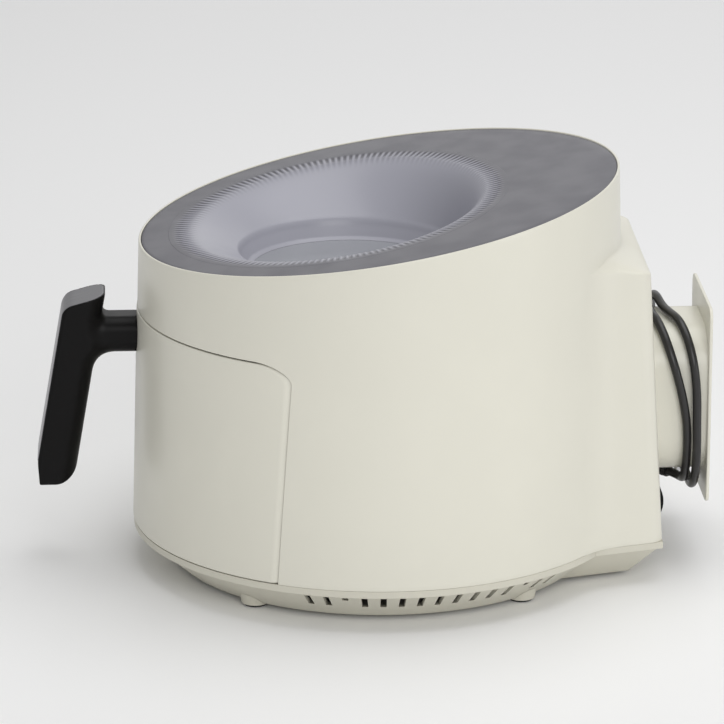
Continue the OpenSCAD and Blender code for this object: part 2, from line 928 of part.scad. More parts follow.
// Winding path of the cord round the spool core
half_w = core_w / 2 + cord_r + cord_gap;
half_h = core_h / 2 + cord_r + cord_gap;
turn_r = core_corner + cord_r + cord_gap;
run_w = half_w - turn_r;
run_h = 2 * (half_h - turn_r);
arc_len = turn_r * PI / 2;
s1 = run_w;
s2 = s1 + arc_len;
s3 = s2 + run_h;
s4 = s3 + arc_len;
s5 = s4 + 2 * run_w;
s6 = s5 + arc_len;
s7 = s6 + run_h;
s8 = s7 + arc_len;
lap = s8 + run_w;
layer = cord_d + 1;
function turn_angle(d) = d / turn_r * 180 / PI;
function wind_xz(s, o) =
  s < s1 ? [s, -half_h - o] :
  s < s2 ? [run_w + (turn_r + o) * sin(turn_angle(s - s1)),
            -run_h / 2 - (turn_r + o) * cos(turn_angle(s - s1))] :
  s < s3 ? [half_w + o, -run_h / 2 + s - s2] :
  s < s4 ? [run_w + (turn_r + o) * cos(turn_angle(s - s3)),
            run_h / 2 + (turn_r + o) * sin(turn_angle(s - s3))] :
  s < s5 ? [run_w - (s - s4), half_h + o] :
  s < s6 ? [-run_w - (turn_r + o) * sin(turn_angle(s - s5)),
            run_h / 2 + (turn_r + o) * cos(turn_angle(s - s5))] :
  s < s7 ? [-half_w - o, run_h / 2 - (s - s6)] :
  s < s8 ? [-run_w - (turn_r + o) * cos(turn_angle(s - s7)),
            -run_h / 2 - (turn_r + o) * sin(turn_angle(s - s7))] :
           [-run_w + s - s8, -half_h - o];
function ease(t) = t <= 0 ? 0 : t >= 1 ? 1 : (1 - cos(180 * t)) / 2;
function between(s, a, b, va, vb) = va + (vb - va) * ease((s - a) / (b - a));
front_lay = flange_y - 31;
top_lay = flange_y - 25.5;
plug_lay = flange_y - 15;
fall_s = lap + s3 - 20;
top_s = lap + s5 + 22;
settle_len = 24;
end_s = lap + s6 + 4;
back_lay = flange_y - 6.8;
boot_end_x = boot_x + boot_len * cos(boot_turn);
boot_end_y = boot_y + boot_len * sin(boot_turn);
turn_in = 24;
turn_s = boot_end_x + 5;
turn_end_s = turn_s + turn_in * sin(boot_turn);
lay_s = turn_end_s + 35;
turn_end_y = boot_end_y + 5 * tan(boot_turn) + turn_in * (1 - cos(boot_turn));
function wind_y(s) =
  s < turn_s ? boot_end_y + (s - boot_end_x) * tan(boot_turn) :
  s < turn_end_s ? turn_end_y - turn_in + sqrt(pow(turn_in, 2) - pow(turn_end_s - s, 2)) :
  s < lap * 0.5 ? between(s, lay_s, lap * 0.5, turn_end_y, front_lay) :
  s < lap * 0.95 ? between(s, lap * 0.5, lap * 0.95, front_lay, back_lay) :
  s < top_s ? between(s, fall_s, top_s, back_lay, top_lay) :
  between(s, top_s, end_s + settle_len, top_lay, plug_lay);
function wind_out(s) =
  s < lap * 0.5 ? between(s, 10, s2, core_mid_h - half_h - boot_h, 0) :
  s < lap ? between(s, lap * 0.76, lap * 0.92, 0, layer) :
  s < lap * 1.4 ? between(s, lap + s1 * 2, lap + s3, layer, 0) :
  between(s, lap * 1.5, lap * 1.64, 0, layer);
function wind_point(s) =
  let (p = wind_xz(s % lap, wind_out(s)))
    [p[0], wind_y(s), core_mid_h + p[1]];
start_s = boot_end_x - 5;
wind_count = 66;
plug_w = 27;
plug_t = 15;
plug_h = 30;
relief_h = 20;
plug_x = -half_w - cord_r - 1 - plug_t / 2;
plug_y = plug_lay;
plug_top_h = core_mid_h - 8;
lay_points = [for (i = [0 : wind_count]) wind_point(start_s + (end_s - start_s) * i / wind_count)];
drop_start = wind_point(end_s);
drop_step = (drop_start[2] - plug_top_h + 6) / 5;
drop_points = [for (i = [1 : 5])
  [drop_start[0] + (plug_x - drop_start[0]) * ease(i / 4),
   wind_y(end_s + drop_step * i),
   drop_start[2] - drop_step * i]];
cord_path = concat(lay_points, drop_points);
tube_sides = 10;
function unit(v) = v / norm(v);
function heading(p, i) =
  unit(p[min(i + 1, len(p) - 1)] - p[max(i - 1, 0)]);
function carry(u, t) = unit(u - (u * t) * t);
function frames(p, i, u) =
  i >= len(p) ? [] :
  let (t = heading(p, i), v = carry(u, t))
    concat([[v, cross(t, v)]], frames(p, i + 1, v));
module tube(p, r) {
  n = len(p);
  f = frames(p, 0, [0, 0, 1]);
  points = [for (i = [0 : n - 1])
    for (j = [0 : tube_sides - 1])
      p[i] + r * (cos(360 * j / tube_sides) * f[i][0] + sin(360 * j / tube_sides) * f[i][1])];
  faces = concat(
    [[for (j = [0 : tube_sides - 1]) tube_sides - 1 - j]],
    [for (i = [0 : n - 2])
      for (j = [0 : tube_sides - 1])
        for (k = [0, 1])
          let (a = i * tube_sides + j,
               b = i * tube_sides + (j + 1) % tube_sides,
               c = (i + 1) * tube_sides + (j + 1) % tube_sides,
               d = (i + 1) * tube_sides + j)
            k == 0 ? [a, b, c] : [a, c, d]],
    [[for (j = [0 : tube_sides - 1]) (n - 1) * tube_sides + j]]
  );
  polyhedron(points = points, faces = [for (q = faces) [for (m = [len(q) - 1 : -1 : 0]) q[m]]]);
}

module cord() {
  color(black) tube(cord_path, cord_r);
}

module plug_body() {
  color(black)
    translate([plug_x, plug_y, 0])
      difference() {
        union() {
          translate([0, 0, plug_top_h - relief_h - plug_h])
            linear_extrude(plug_h)
              rounded_box_2d(plug_t, plug_w, 6);
          translate([0, 0, plug_top_h - relief_h])
            cylinder(r1 = 6.5, r2 = cord_r + 1.2, h = relief_h);
        }
        translate([0, 0, plug_top_h - 12]) cylinder(r = cord_r + 0.2, h = 20);
        for (sy = [-1, 1])
          translate([-plug_t, sy * (plug_w / 2 + 3), plug_top_h - relief_h - plug_h / 2])
            rotate([0, 90, 0]) cylinder(r = 5, h = 2 * plug_t);
      }
}

module plug_pins() {
  color(steel)
    for (sy = [-1, 1])
      translate([plug_x, plug_y + sy * 9.5, plug_top_h - relief_h - plug_h - 19])
        cylinder(r = 2.2, h = 19);
}

module motor_shaft() {
  color(steel)
    at_fan() rod_y(shaft_r, fan_y + 1.6, motor_y + motor_len + 2);
}

hub_r = shaft_r + 5;
module hot_impeller() {
  color(steel)
    at_fan()
      difference() {
        union() {
          rod_y(impeller_r, fan_y + 16, fan_y + 17);
          rod_y(hub_r, fan_y + 6, fan_y + 17);
          for (a = [0 : 30 : 330])
            rotate([0, a, 0])
              translate([hub_r + 8, fan_y + 5, -0.5])
                rotate([0, 14, 0])
                  cube([impeller_r - hub_r - 11, 11.5, 1]);
        }
        rod_y(shaft_r, fan_y, fan_y + 20);
      }
}

cool_y = fan_y + scroll_len + 2;
module cooling_fan() {
  color(black)
    at_fan()
      difference() {
        union() {
          rod_y(hub_r, cool_y, cool_y + 7);
          rod_y(impeller_r - 12, cool_y + 6, cool_y + 7);
          for (a = [0 : 45 : 315])
            rotate([0, a, 0])
              translate([hub_r - 1, cool_y, -0.5]) cube([impeller_r - hub_r - 12, 6.5, 1]);
        }
        rod_y(shaft_r, cool_y - 1, cool_y + 8);
      }
}

module motor_rotor() {
  color(steel)
    at_fan()
      difference() {
        rod_y(14, motor_y + 6, motor_y + motor_len - 6);
        rod_y(shaft_r, motor_y, motor_y + motor_len);
      }
}

module impeller_nut() {
  color(steel)
    at_fan()
      difference() {
        translate([0, fan_y + 2.6, 0])
          rotate([-90, 0, 0]) cylinder(r = 5.5, h = 3.4, $fn = 6);
        rod_y(shaft_r, fan_y, fan_y + 8);
      }
}

module handle_screw_places() {
  for (sx = [-1, 1])
    translate([sx * 8, 0, arm_mid_h]) children();
}

module drawer_front() {
  color(cream)
    difference() {
      panel_slab(0, panel_t, 0);
      handle_screw_places() rod_y(2.2, -body_r - 5, -body_r + 40);
    }
}

module drawer_backplate() {
  color([0.2, 0.2, 0.21])
    difference() {
      union() {
        intersection() {
          translate([0, -panel_proud, 0])
            difference() {
              cone_between(panel_low_h + 4, panel_top_h - 5, panel_t + back_gap);
              cone_between(panel_low_h, panel_top_h, panel_t + back_gap + back_t);
            }
          front_extrude(-body_r, -body_r * 0.3)
            translate([-panel_half_w + 11, panel_low_h])
              square([2 * panel_half_w - 22, panel_top_h]);
        }
        intersection() {
          translate([-25, -body_r, pot_top_h - 46])
            cube([50, body_r + bracket_y, 47]);
          translate([0, -panel_proud, 0])
            cone_between(panel_low_h, panel_top_h, panel_t + back_gap + back_t * 0.5);
        }
      }
      handle_screw_places() rod_y(2.2, -body_r, bracket_y + 1);
    }
}

module pot() {
  outer = [[0, pot_low_h], [pot_r - pot_draft - 8, pot_low_h], [pot_r - pot_draft, pot_low_h + 8],
    [pot_r, pot_top_h], [0, pot_top_h]];
  inner_low = pot_low_h + pot_wall;
  inner = [[0, inner_low], [pot_r - pot_draft - 8, inner_low],
    [pot_r - pot_draft - pot_wall, inner_low + 7], [pot_r - pot_wall, pot_top_h + 1], [0, pot_top_h + 1]];
  color([0.22, 0.22, 0.23])
    difference() {
      union() {
        translate([0, cav_y, 0]) rotate_extrude() polygon(outer);
        translate([0, cav_y, pot_top_h - 1.6]) cylinder(r = pot_r + pot_flange, h = 1.6);
        translate([-18, pad_y, pot_top_h - 34]) cube([36, 12, 16]);
      }
      translate([0, cav_y, 0]) rotate_extrude() polygon(inner);
      rivet_places() rod_y(1.55, pad_y - 1, pad_y + 3);
    }
}

module rivet_places() {
  for (sx = [-1, 1])
    translate([sx * 10, 0, pot_top_h - 26]) children();
}

module handle_bracket() {
  color(steel)
    difference() {
      translate([-20, bracket_y, pot_top_h - 34]) cube([40, bracket_t, 38]);
      handle_screw_places() rod_y(2.2, bracket_y - 1, bracket_y + 5);
      rivet_places() rod_y(1.55, bracket_y - 1, bracket_y + 5);
    }
}

module bracket_rivets() {
  color(steel)
    rivet_places() rod_y(1.5, bracket_y + 0.1, pad_y + 2.8);
}

module handle_screws() {
  color(steel)
    handle_screw_places() {
      rod_y(4, pad_y, pad_y + 2.2);
      rod_y(2.1, handle_y - 9, pad_y + 1);
    }
}

module grip_outline(inset) {
  heel_z = grip_low_h + heel_r;
  heel_y = grip_inner(heel_z) - heel_r * lean_n;
  toe_z = grip_low_h + toe_r;
  toe_y = toe_front_y + toe_r;
  polygon([
    [grip_front(horn_front_h), horn_front_h],
    [grip_front(knee_h), knee_h],
    [toe_front_y, toe_z],
    [toe_y, grip_low_h],
    [heel_y, grip_low_h],
    [heel_y + heel_r / lean_n, heel_z - heel_r * grip_k / lean_n],
    [grip_inner(arm_low_h - 7), arm_low_h - 7],
    [horn_back_y + 1.5, arm_low_h],
    [horn_back_y, arm_high_h],
    [horn_back_y, horn_back_h]
  ]);
  translate([heel_y, heel_z])
    intersection() {
      circle(heel_r);
      translate([0, -heel_r]) square([heel_r, 2 * heel_r]);
    }
  translate([toe_y, toe_z]) circle(toe_r);
}

strip_t = 1.2;
strip_w = grip_w - 3;
module strip_outline(grow) {
  polygon([
    [horn_back_y + grow, horn_back_h + grow],
    [grip_front(horn_front_h), horn_front_h + grow],
    [grip_front(horn_front_h) - grow, horn_front_h],
    [grip_front(grip_low_h + 12) - grow, grip_low_h + 12 - grow],
    [grip_front(grip_low_h + 12) + strip_t, grip_low_h + 12 - grow],
    [grip_front(horn_front_h) + strip_t, horn_front_h - strip_t],
    [horn_back_y + grow, horn_back_h - strip_t]
  ]);
}

module handle_body() {
  color(black)
    difference() {
      union() {
        side_extrude(grip_w) grip_outline(0);
        difference() {
          side_extrude(arm_w)
            translate([horn_back_y - 1, arm_low_h])
              square([arm_reach + 20, arm_high_h - arm_low_h]);
          translate([0, -panel_proud, 0])
            cone_between(panel_low_h, panel_top_h + 20, -slip / 3);
        }
      }
      side_extrude(strip_w) strip_outline(0.05);
      handle_screw_places() rod_y(2.15, handle_y - 10, handle_y + 20);
    }
}

module handle_inlay() {
  color(dark_plate) side_extrude(strip_w - 0.2) strip_outline(0);
}

module door_magnet() {
  color([0.3, 0.3, 0.32])
    difference() {
      translate([magnet_x, mouth_y - 12, liner_low_h + 8])
        cube([8, 10, 8]);
      translate([0, -panel_proud, 0])
        difference() {
          cone_between(seam_h, panel_top_h, -20);
          cone_between(seam_h - 1, panel_top_h + 1, panel_t + back_gap + back_t);
        }
    }
}

module crisper_tray() {
  color([0.2, 0.2, 0.21])
    translate([0, cav_y, tray_h])
      difference() {
        union() {
          cylinder(r = tray_r, h = tray_t);
          difference() {
            cylinder(r = tray_r, h = 6);
            translate([0, 0, -1]) cylinder(r = tray_r - tray_t, h = 8);
          }
          for (a = [45 : 90 : 315])
            rotate([0, 0, a])
              translate([tray_r - 18, 0, -tray_h + pot_low_h + pot_wall + slip])
                cylinder(r = 5, h = tray_h - pot_low_h - pot_wall - slip + 0.5);
        }
        for (ring = [1 : 5])
          for (i = [0 : ring * 6 - 1])
            rotate([0, 0, i * 60 / ring])
              translate([ring * (tray_r - 12) / 5.4, 0, -1])
                cylinder(r = tray_hole_d / 2, h = tray_t + 2);
        bumper_places() cube([8, 7, 4.4], center = true);
      }
}

module bumper_places() {
  for (a = [0 : 90 : 270])
    rotate([0, 0, a]) translate([tray_r - 1.8, 0, 3.8]) children();
}

module tray_bumpers() {
  color(black)
    translate([0, cav_y, tray_h])
      intersection() {
        bumper_places() cube([7.8, 6.8, 4.2], center = true);
        cylinder(r = tray_r + 1, h = 20);
      }
}

module tray_tab() {
  color(steel)
    translate([0, cav_y, tray_h + tray_t])
      difference() {
        union() {
          translate([-9, -1.5, 0]) cube([18, 3, 4]);
          translate([0, 1.5, 4]) rotate([90, 0, 0]) cylinder(r = 9, h = 3);
        }
        translate([0, 3, 4]) rotate([90, 0, 0]) cylinder(r = 6, h = 6);
        translate([-big / 2, -big / 2, -big]) cube([big, big, big]);
      }
}

in_frame() body_shell();
in_frame() rear_cover();
in_frame() rear_cover_screws();
in_frame() exhaust_grille();
in_frame() cord_spool();
in_frame() spool_flange();
in_frame() spool_screws();
in_frame() base_pan();
in_frame() feet();
in_frame() foot_pads();
in_frame() base_screws();
in_frame() top_panel();
in_frame() window_funnel();
in_frame() window_pane();
in_frame() window_gasket();
in_frame() pane_clamp_ring();
in_frame() clamp_screws();
in_frame() inner_pane();
in_frame() heat_reflector();
in_frame() touch_board();
in_frame() chassis();
in_frame() drawer_rails();
in_frame() cavity_liner();
in_frame() heater();
in_frame() heater_clips();
in_frame() blower_scroll();
in_frame() motor_bracket();
in_frame() motor_can();
in_frame() motor_stator();
in_frame() motor_bearings();
in_frame() thermal_fuse();
in_frame() temperature_sensor();
in_frame() power_board();
in_frame() power_components();
in_frame() terminal_block();
in_frame() reed_switch();
in_frame() strain_relief();
in_frame() cord();
in_frame() plug_body();
in_frame() plug_pins();
in_frame() motor_shaft();
in_frame() hot_impeller();
in_frame() cooling_fan();
in_frame() motor_rotor();
in_frame() impeller_nut();
in_frame() drawer_front();
in_frame() drawer_backplate();
in_frame() pot();
in_frame() handle_bracket();
in_frame() handle_body();
in_frame() handle_inlay();
in_frame() handle_screws();
in_frame() bracket_rivets();
in_frame() door_magnet();
in_frame() crisper_tray();
in_frame() tray_bumpers();
in_frame() tray_tab();
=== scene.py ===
"""Looks of a drawer-type hot-air fryer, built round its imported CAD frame. Metres, +Z up, handle to -Y."""

import math

import bpy
import numpy as np
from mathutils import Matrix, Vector


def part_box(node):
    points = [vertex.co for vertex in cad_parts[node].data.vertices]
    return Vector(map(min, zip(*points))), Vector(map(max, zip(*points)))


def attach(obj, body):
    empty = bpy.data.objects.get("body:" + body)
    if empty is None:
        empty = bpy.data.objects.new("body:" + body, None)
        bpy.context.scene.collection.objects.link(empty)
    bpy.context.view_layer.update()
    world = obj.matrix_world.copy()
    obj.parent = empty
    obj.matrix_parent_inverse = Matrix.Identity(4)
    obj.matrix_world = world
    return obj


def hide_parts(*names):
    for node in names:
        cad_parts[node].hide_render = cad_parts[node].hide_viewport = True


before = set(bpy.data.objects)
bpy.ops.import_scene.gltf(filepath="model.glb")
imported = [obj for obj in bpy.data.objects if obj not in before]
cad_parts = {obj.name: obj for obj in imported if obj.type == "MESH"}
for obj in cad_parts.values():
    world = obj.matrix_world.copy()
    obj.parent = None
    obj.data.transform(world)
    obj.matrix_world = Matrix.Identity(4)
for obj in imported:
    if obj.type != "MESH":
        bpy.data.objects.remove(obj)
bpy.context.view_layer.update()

# ---------------------------------------------------------------- shared sizes
# Shapes are worked out in millimetres from the body's own axis and the table,
# and place() puts them into the frame, in metres.

MM = 0.001
feet_low, feet_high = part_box("foot_pads")
AXIS_Y = (feet_low.y + feet_high.y) / 2 / MM
BODY_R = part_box("base_pan")[1].x / MM
SEAM_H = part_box("body_shell")[0].z / MM
TOP_MID_H = 222.0
TILT = math.radians(9.1)
DRAFT = math.tan(math.radians(1.72))
WALL = 2.5
RIM_T = 1.4
SLIP = 0.3
LEDGE_DROP = 3.0
PLATE_DROP = 0.5

REAR_Y = BODY_R + 16.2
REAR_LEAN = math.radians(3.15)
REAR_HALF_W = 71.3
ROOF_Y = REAR_Y - 46.2
ROOF_H = TOP_MID_H - 23.4
ROOF_SLOPE = 0.16
COVER_HALF_W = 56.0
COVER_LOW = 3.0
COVER_HIGH = 150.0

PANEL_HALF_W = 133.2
PANEL_LOW = SEAM_H + 0.6
PANEL_TOP = TOP_MID_H - 64.2
PANEL_CORNER = 11.0
PANEL_GAP = 1.0
PANEL_PROUD = 0.45
PANEL_T = 3.0

RING_Y = -BODY_R * 0.169
RING_X_R = 118.0
RING_Y_R = 103.3
RING_BAND = 13.0
RING_DROP = 1.3
WELL_Y = -BODY_R * 0.12
WELL_LOW_H = TOP_MID_H - 41.6
WELL_TOP_H = WELL_LOW_H + 11.2
WELL_TOP_R = 66.5
WELL_LOW_R = 61.5
BOWL_SAG = 2.5

CORD_R = 2.65
CORE_W = 80.0
CORE_H = 91.0
CORE_CORNER = 25.0
CORE_MID_H = 101.0
FLANGE_Y = REAR_Y + 29
FLANGE_T = 2.0
FLANGE_HALF_W = CORE_W / 2 + 3
FLANGE_LOW = CORE_MID_H - CORE_H / 2 - 15.7
FLANGE_HIGH = CORE_MID_H + CORE_H / 2 + 15.4

ARM_MID_H = PANEL_TOP - 15.8
GRIP_K = 0.177
GRIP_W = 35.0
GRIP_DEPTH = 24.6
GRIP_LOW_H = 50.2
ARM_FROM = 1.3


def body_r_at(z):
    return BODY_R - DRAFT * (z - SEAM_H)


def place(points):
    """Points in millimetres from the body's axis, as metres in the frame."""
    p = np.asarray(points, float) * MM
    p[..., 1] += AXIS_Y * MM
    return p


def smooth(t):
    t = np.clip(t, 0, 1)
    return t * t * (3 - 2 * t)


def soft_max(a, b, k):
    h = np.clip(0.5 + 0.5 * (a - b) / k, 0, 1)
    return b + (a - b) * h + k * h * (1 - h)


def soft_min(a, b, k):
    return -soft_max(-a, -b, k)


# ---------------------------------------------------------------- mesh helpers


def new_object(name, verts, faces, sharp=35):
    """A smooth-shaded mesh whose edges sharper than that angle stay crisp."""
    mesh = bpy.data.meshes.new(name)
    mesh.from_pydata(verts.tolist(), [], faces)
    mesh.validate()
    mesh.shade_smooth()
    mesh.set_sharp_from_angle(angle=math.radians(sharp))
    piece = bpy.data.objects.new(name, mesh)
    bpy.context.scene.collection.objects.link(piece)
    return piece


def grid_faces(rows, cols, wrap_rows=False, wrap_cols=False):
    i = np.arange(rows if wrap_rows else rows - 1)[:, None]
    j = np.arange(cols if wrap_cols else cols - 1)[None, :]
    a = i * cols + j
    b = i * cols + (j + 1) % cols
    c = ((i + 1) % rows) * cols + (j + 1) % cols
    d = ((i + 1) % rows) * cols + j
    return np.stack([a, b, c, d], -1).reshape(-1, 4).tolist()


def grid_object(name, points, wrap_rows=False, wrap_cols=False, flip=False, caps=False, sharp=35):
    """A mesh over a grid of points, rows by columns, in millimetres."""
    rows, cols = points.shape[:2]
    faces = grid_faces(rows, cols, wrap_rows, wrap_cols)
    if caps:
        faces.append(list(range(cols))[::-1])
        faces.append([(rows - 1) * cols + j for j in range(cols)])
    if flip:
        faces = [f[::-1] for f in faces]
    return new_object(name, place(points.reshape(-1, 3)), faces, sharp)


def baked(piece):
    """The piece with its modifiers applied."""
    bpy.context.view_layer.update()
    graph = bpy.context.evaluated_depsgraph_get()
    mesh = bpy.data.meshes.new_from_object(piece.evaluated_get(graph))
    piece.modifiers.clear()
    piece.data = mesh
    return piece


def cut_with(piece, cutter):
    """Takes the cutter's volume out of the piece and removes the cutter."""
    cut = piece.modifiers.new("cut", "BOOLEAN")
    cut.operation = "DIFFERENCE"
    cut.solver = "EXACT"
    cut.object = cutter
    baked(piece)
    bpy.data.objects.remove(cutter)
    return piece


def resharpen(piece, sharp=35):
    piece.data.shade_smooth()
    piece.data.set_sharp_from_angle(angle=math.radians(sharp))
    return piece


def rounded_outline(half_u, low, high, corner, low_corner, spacing=3.0):
    """A closed outline, counter-clockwise from the lower left, with rounded corners."""
    points = []

    def line(a, b, count):
        for k in range(count):
            points.append((a[0] + (b[0] - a[0]) * k / count, a[1] + (b[1] - a[1]) * k / count))

    def arc(cu, cv, r, start, count):
        for k in range(count):
            t = start + math.pi / 2 * k / count
            points.append((cu + r * math.cos(t), cv + r * math.sin(t)))

    wide = max(8, int(2 * half_u / spacing))
    tall = max(6, int((high - low) / spacing))
    line((-half_u + low_corner, low), (half_u - low_corner, low), wide)
    arc(half_u - low_corner, low + low_corner, low_corner, -math.pi / 2, 6)
    line((half_u, low + low_corner), (half_u, high - corner), tall)
    arc(half_u - corner, high - corner, corner, 0, 14)
    line((half_u - corner, high), (-half_u + corner, high), wide)
    arc(-half_u + corner, high - corner, corner, math.pi / 2, 14)
    line((-half_u, high - corner), (-half_u, low + low_corner), tall)
    arc(-half_u + low_corner, low + low_corner, low_corner, math.pi, 6)
    return np.array(points)


def plate_object(name, outline, thickness, to_space, centre, edge=0.5, inner_rings=20, flip=False):
    """A closed plate with rolled edges. outline(inset) gives its edge, to_space(u, v, depth) its place."""
    centre = np.array(centre)
    rings = []
    profile = [(0, edge * 1.6), (edge * 0.08, edge * 0.7), (edge * 0.3, edge * 0.3), (edge * 0.7, edge * 0.08)]
    face = edge * 1.4
    for inset, depth in profile + [(face, 0)]:
        rings.append((outline(inset), depth))
    for s in np.linspace(1, 0.02, inner_rings)[1:]:
        rings.append((centre + (outline(face) - centre) * s, 0))
    front = rings[:]
    back = [(outline(inset), thickness - depth) for inset, depth in profile + [(face, 0)]]
    back += [(centre + (outline(face) - centre) * s, thickness) for s in np.linspace(1, 0.02, 6)[1:]]
    loops = front[::-1] + back
    points = np.array([to_space(uv[:, 0], uv[:, 1], depth) for uv, depth in loops])
    return grid_object(name, points, wrap_cols=True, caps=True, flip=flip)


def net_object(name, distance, low, high, step, sharp=60):
    """A mesh of the surface where distance(x, y, z) is zero, as a net of quads pulled onto it."""
    axes = [np.arange(low[k] - 2 * step, high[k] + 2.5 * step, step) for k in range(3)]
    grid = np.meshgrid(*axes, indexing="ij")
    inside = distance(*grid) < 0
    corner = inside[:-1, :-1, :-1].astype(int)
    for dx in (0, 1):
        for dy in (0, 1):
            for dz in (0, 1):
                if dx + dy + dz:
                    nx, ny, nz = inside.shape
                    corner = corner + inside[dx : nx - 1 + dx, dy : ny - 1 + dy, dz : nz - 1 + dz]
    mixed = (corner > 0) & (corner < 8)
    index = np.full(mixed.shape, -1)
    index[mixed] = np.arange(mixed.sum())
    cells = np.argwhere(mixed)
    verts = np.stack([axes[k][cells[:, k]] + step / 2 for k in range(3)], -1)
    tiny = step * 0.05
    for _ in range(6):
        d = distance(*verts.T)
        slope = np.stack(
            [
                (distance(*(verts + tiny * np.eye(3)[k]).T) - distance(*(verts - tiny * np.eye(3)[k]).T)) / (2 * tiny)
                for k in range(3)
            ],
            -1,
        )
        size = np.maximum((slope**2).sum(-1), 0.05)
        verts = verts - np.clip(d / size, -step, step)[:, None] * slope * 0.9
    faces = []
    for axis in range(3):
        u, v = (axis + 1) % 3, (axis + 2) % 3
        head = [slice(None)] * 3
        tail = [slice(None)] * 3
        head[axis] = slice(0, -1)
        tail[axis] = slice(1, None)
        start, end = inside[tuple(head)], inside[tuple(tail)]
        for k in np.argwhere(start != end):
            cell = [k.copy() for _ in range(4)]
            cell[0][u] -= 1
            cell[0][v] -= 1
            cell[1][v] -= 1
            cell[3][u] -= 1
            quad = [int(index[tuple(c)]) for c in cell]
            if min(quad) < 0:
                continue
            faces.append(quad if start[tuple(k)] else quad[::-1])
    return new_object(name, place(verts), faces, sharp)


# ---------------------------------------------------------------- materials


class Look:
    """A node material under construction: a Principled shader fed by object-space patterns."""

    def __init__(self, name, color, roughness, metallic=0.0):
        self.material = bpy.data.materials.new(name)
        self.material.use_nodes = True
        self.nodes = self.material.node_tree.nodes
        self.links = self.material.node_tree.links
        self.shader = self.nodes["Principled BSDF"]
        self.shader.inputs["Metallic"].default_value = metallic
        self.where = self.node("ShaderNodeTexCoord").outputs["Object"]
        self.color = self.rgb(color)
        self.roughness = self.value(roughness)
        self.bump = None

    def node(self, kind, **settings):
        made = self.nodes.new(kind)
        for key, value in settings.items():
            setattr(made, key, value)
        return made

    def rgb(self, color):
        made = self.node("ShaderNodeRGB")
        made.outputs[0].default_value = (*color, 1)
        return made.outputs[0]

    def value(self, number):
        made = self.node("ShaderNodeValue")
        made.outputs[0].default_value = number
        return made.outputs[0]

    def noise(self, scale, detail=3.0, stretch=(1, 1, 1)):
        """A noise pattern of that many cells a metre."""
        mapping = self.node("ShaderNodeMapping")
        mapping.inputs["Scale"].default_value = stretch
        self.links.new(self.where, mapping.inputs["Vector"])
        made = self.node("ShaderNodeTexNoise")
        made.inputs["Scale"].default_value = scale
        made.inputs["Detail"].default_value = detail
        self.links.new(mapping.outputs[0], made.inputs["Vector"])
        return made.outputs["Fac"]

    def ramp(self, source, low, high, to_low=0.0, to_high=1.0):
        made = self.node("ShaderNodeMapRange", interpolation_type="SMOOTHSTEP")
        made.inputs["From Min"].default_value = low
        made.inputs["From Max"].default_value = high
        made.inputs["To Min"].default_value = to_low
        made.inputs["To Max"].default_value = to_high
        self.links.new(source, made.inputs["Value"])
        return made.outputs["Result"]

    def math(self, operation, a, b):
        made = self.node("ShaderNodeMath", operation=operation)
        for socket, item in zip(made.inputs, (a, b)):
            if isinstance(item, (int, float)):
                socket.default_value = item
            else:
                self.links.new(item, socket)
        return made.outputs[0]

    def tint(self, mask, color, amount=1.0):
        """Mixes a colour into the surface where the mask is 1."""
        made = self.node("ShaderNodeMix", data_type="RGBA")
        self.links.new(self.math("MULTIPLY", mask, amount), made.inputs["Factor"])
        self.links.new(self.color, made.inputs["A"])
        made.inputs["B"].default_value = (*color, 1)
        self.color = made.outputs["Result"]
        return self

    def rougher(self, mask, amount):
        self.roughness = self.math("ADD", self.roughness, self.math("MULTIPLY", mask, amount))
        return self

    def raised(self, height, distance, strength=1.0):
        """Adds relief of that many metres."""
        made = self.node("ShaderNodeBump")
        made.inputs["Distance"].default_value = distance
        made.inputs["Strength"].default_value = strength
        self.links.new(height, made.inputs["Height"])
        if self.bump is not None:
            self.links.new(self.bump, made.inputs["Normal"])
        self.bump = made.outputs["Normal"]
        return self

    def worn(self, color, amount, start=0.53, end=0.62):
        """Paler or shinier edges, by how convex the surface is."""
        edge = self.ramp(self.node("ShaderNodeNewGeometry").outputs["Pointiness"], start, end)
        patchy = self.math("MULTIPLY", edge, self.ramp(self.noise(140), 0.35, 0.7))
        self.tint(patchy, color, amount)
        return self

    def facing_in(self):
        """1 where the surface faces the body's own axis, as the inside of a wall does."""
        normal = self.node("ShaderNodeSeparateXYZ")
        self.links.new(self.node("ShaderNodeNewGeometry").outputs["True Normal"], normal.inputs[0])
        spot = self.node("ShaderNodeSeparateXYZ")
        self.links.new(self.where, spot.inputs[0])
        toward = self.math(
            "ADD",
            self.math("MULTIPLY", normal.outputs[0], spot.outputs[0]),
            self.math("MULTIPLY", normal.outputs[1], self.math("SUBTRACT", spot.outputs[1], AXIS_Y * MM)),
        )
        return self.ramp(toward, -0.01, -0.05)

    def done(self, **sockets):
        for key, value in sockets.items():
            self.shader.inputs[key.replace("_", " ")].default_value = value
        self.links.new(self.color, self.shader.inputs["Base Color"])
        self.links.new(self.roughness, self.shader.inputs["Roughness"])
        if self.bump is not None:
            self.links.new(self.bump, self.shader.inputs["Normal"])
        return self.material


DARK_PLATE = (0.083, 0.081, 0.099)
SILVER_GREY = (0.36, 0.36, 0.41)


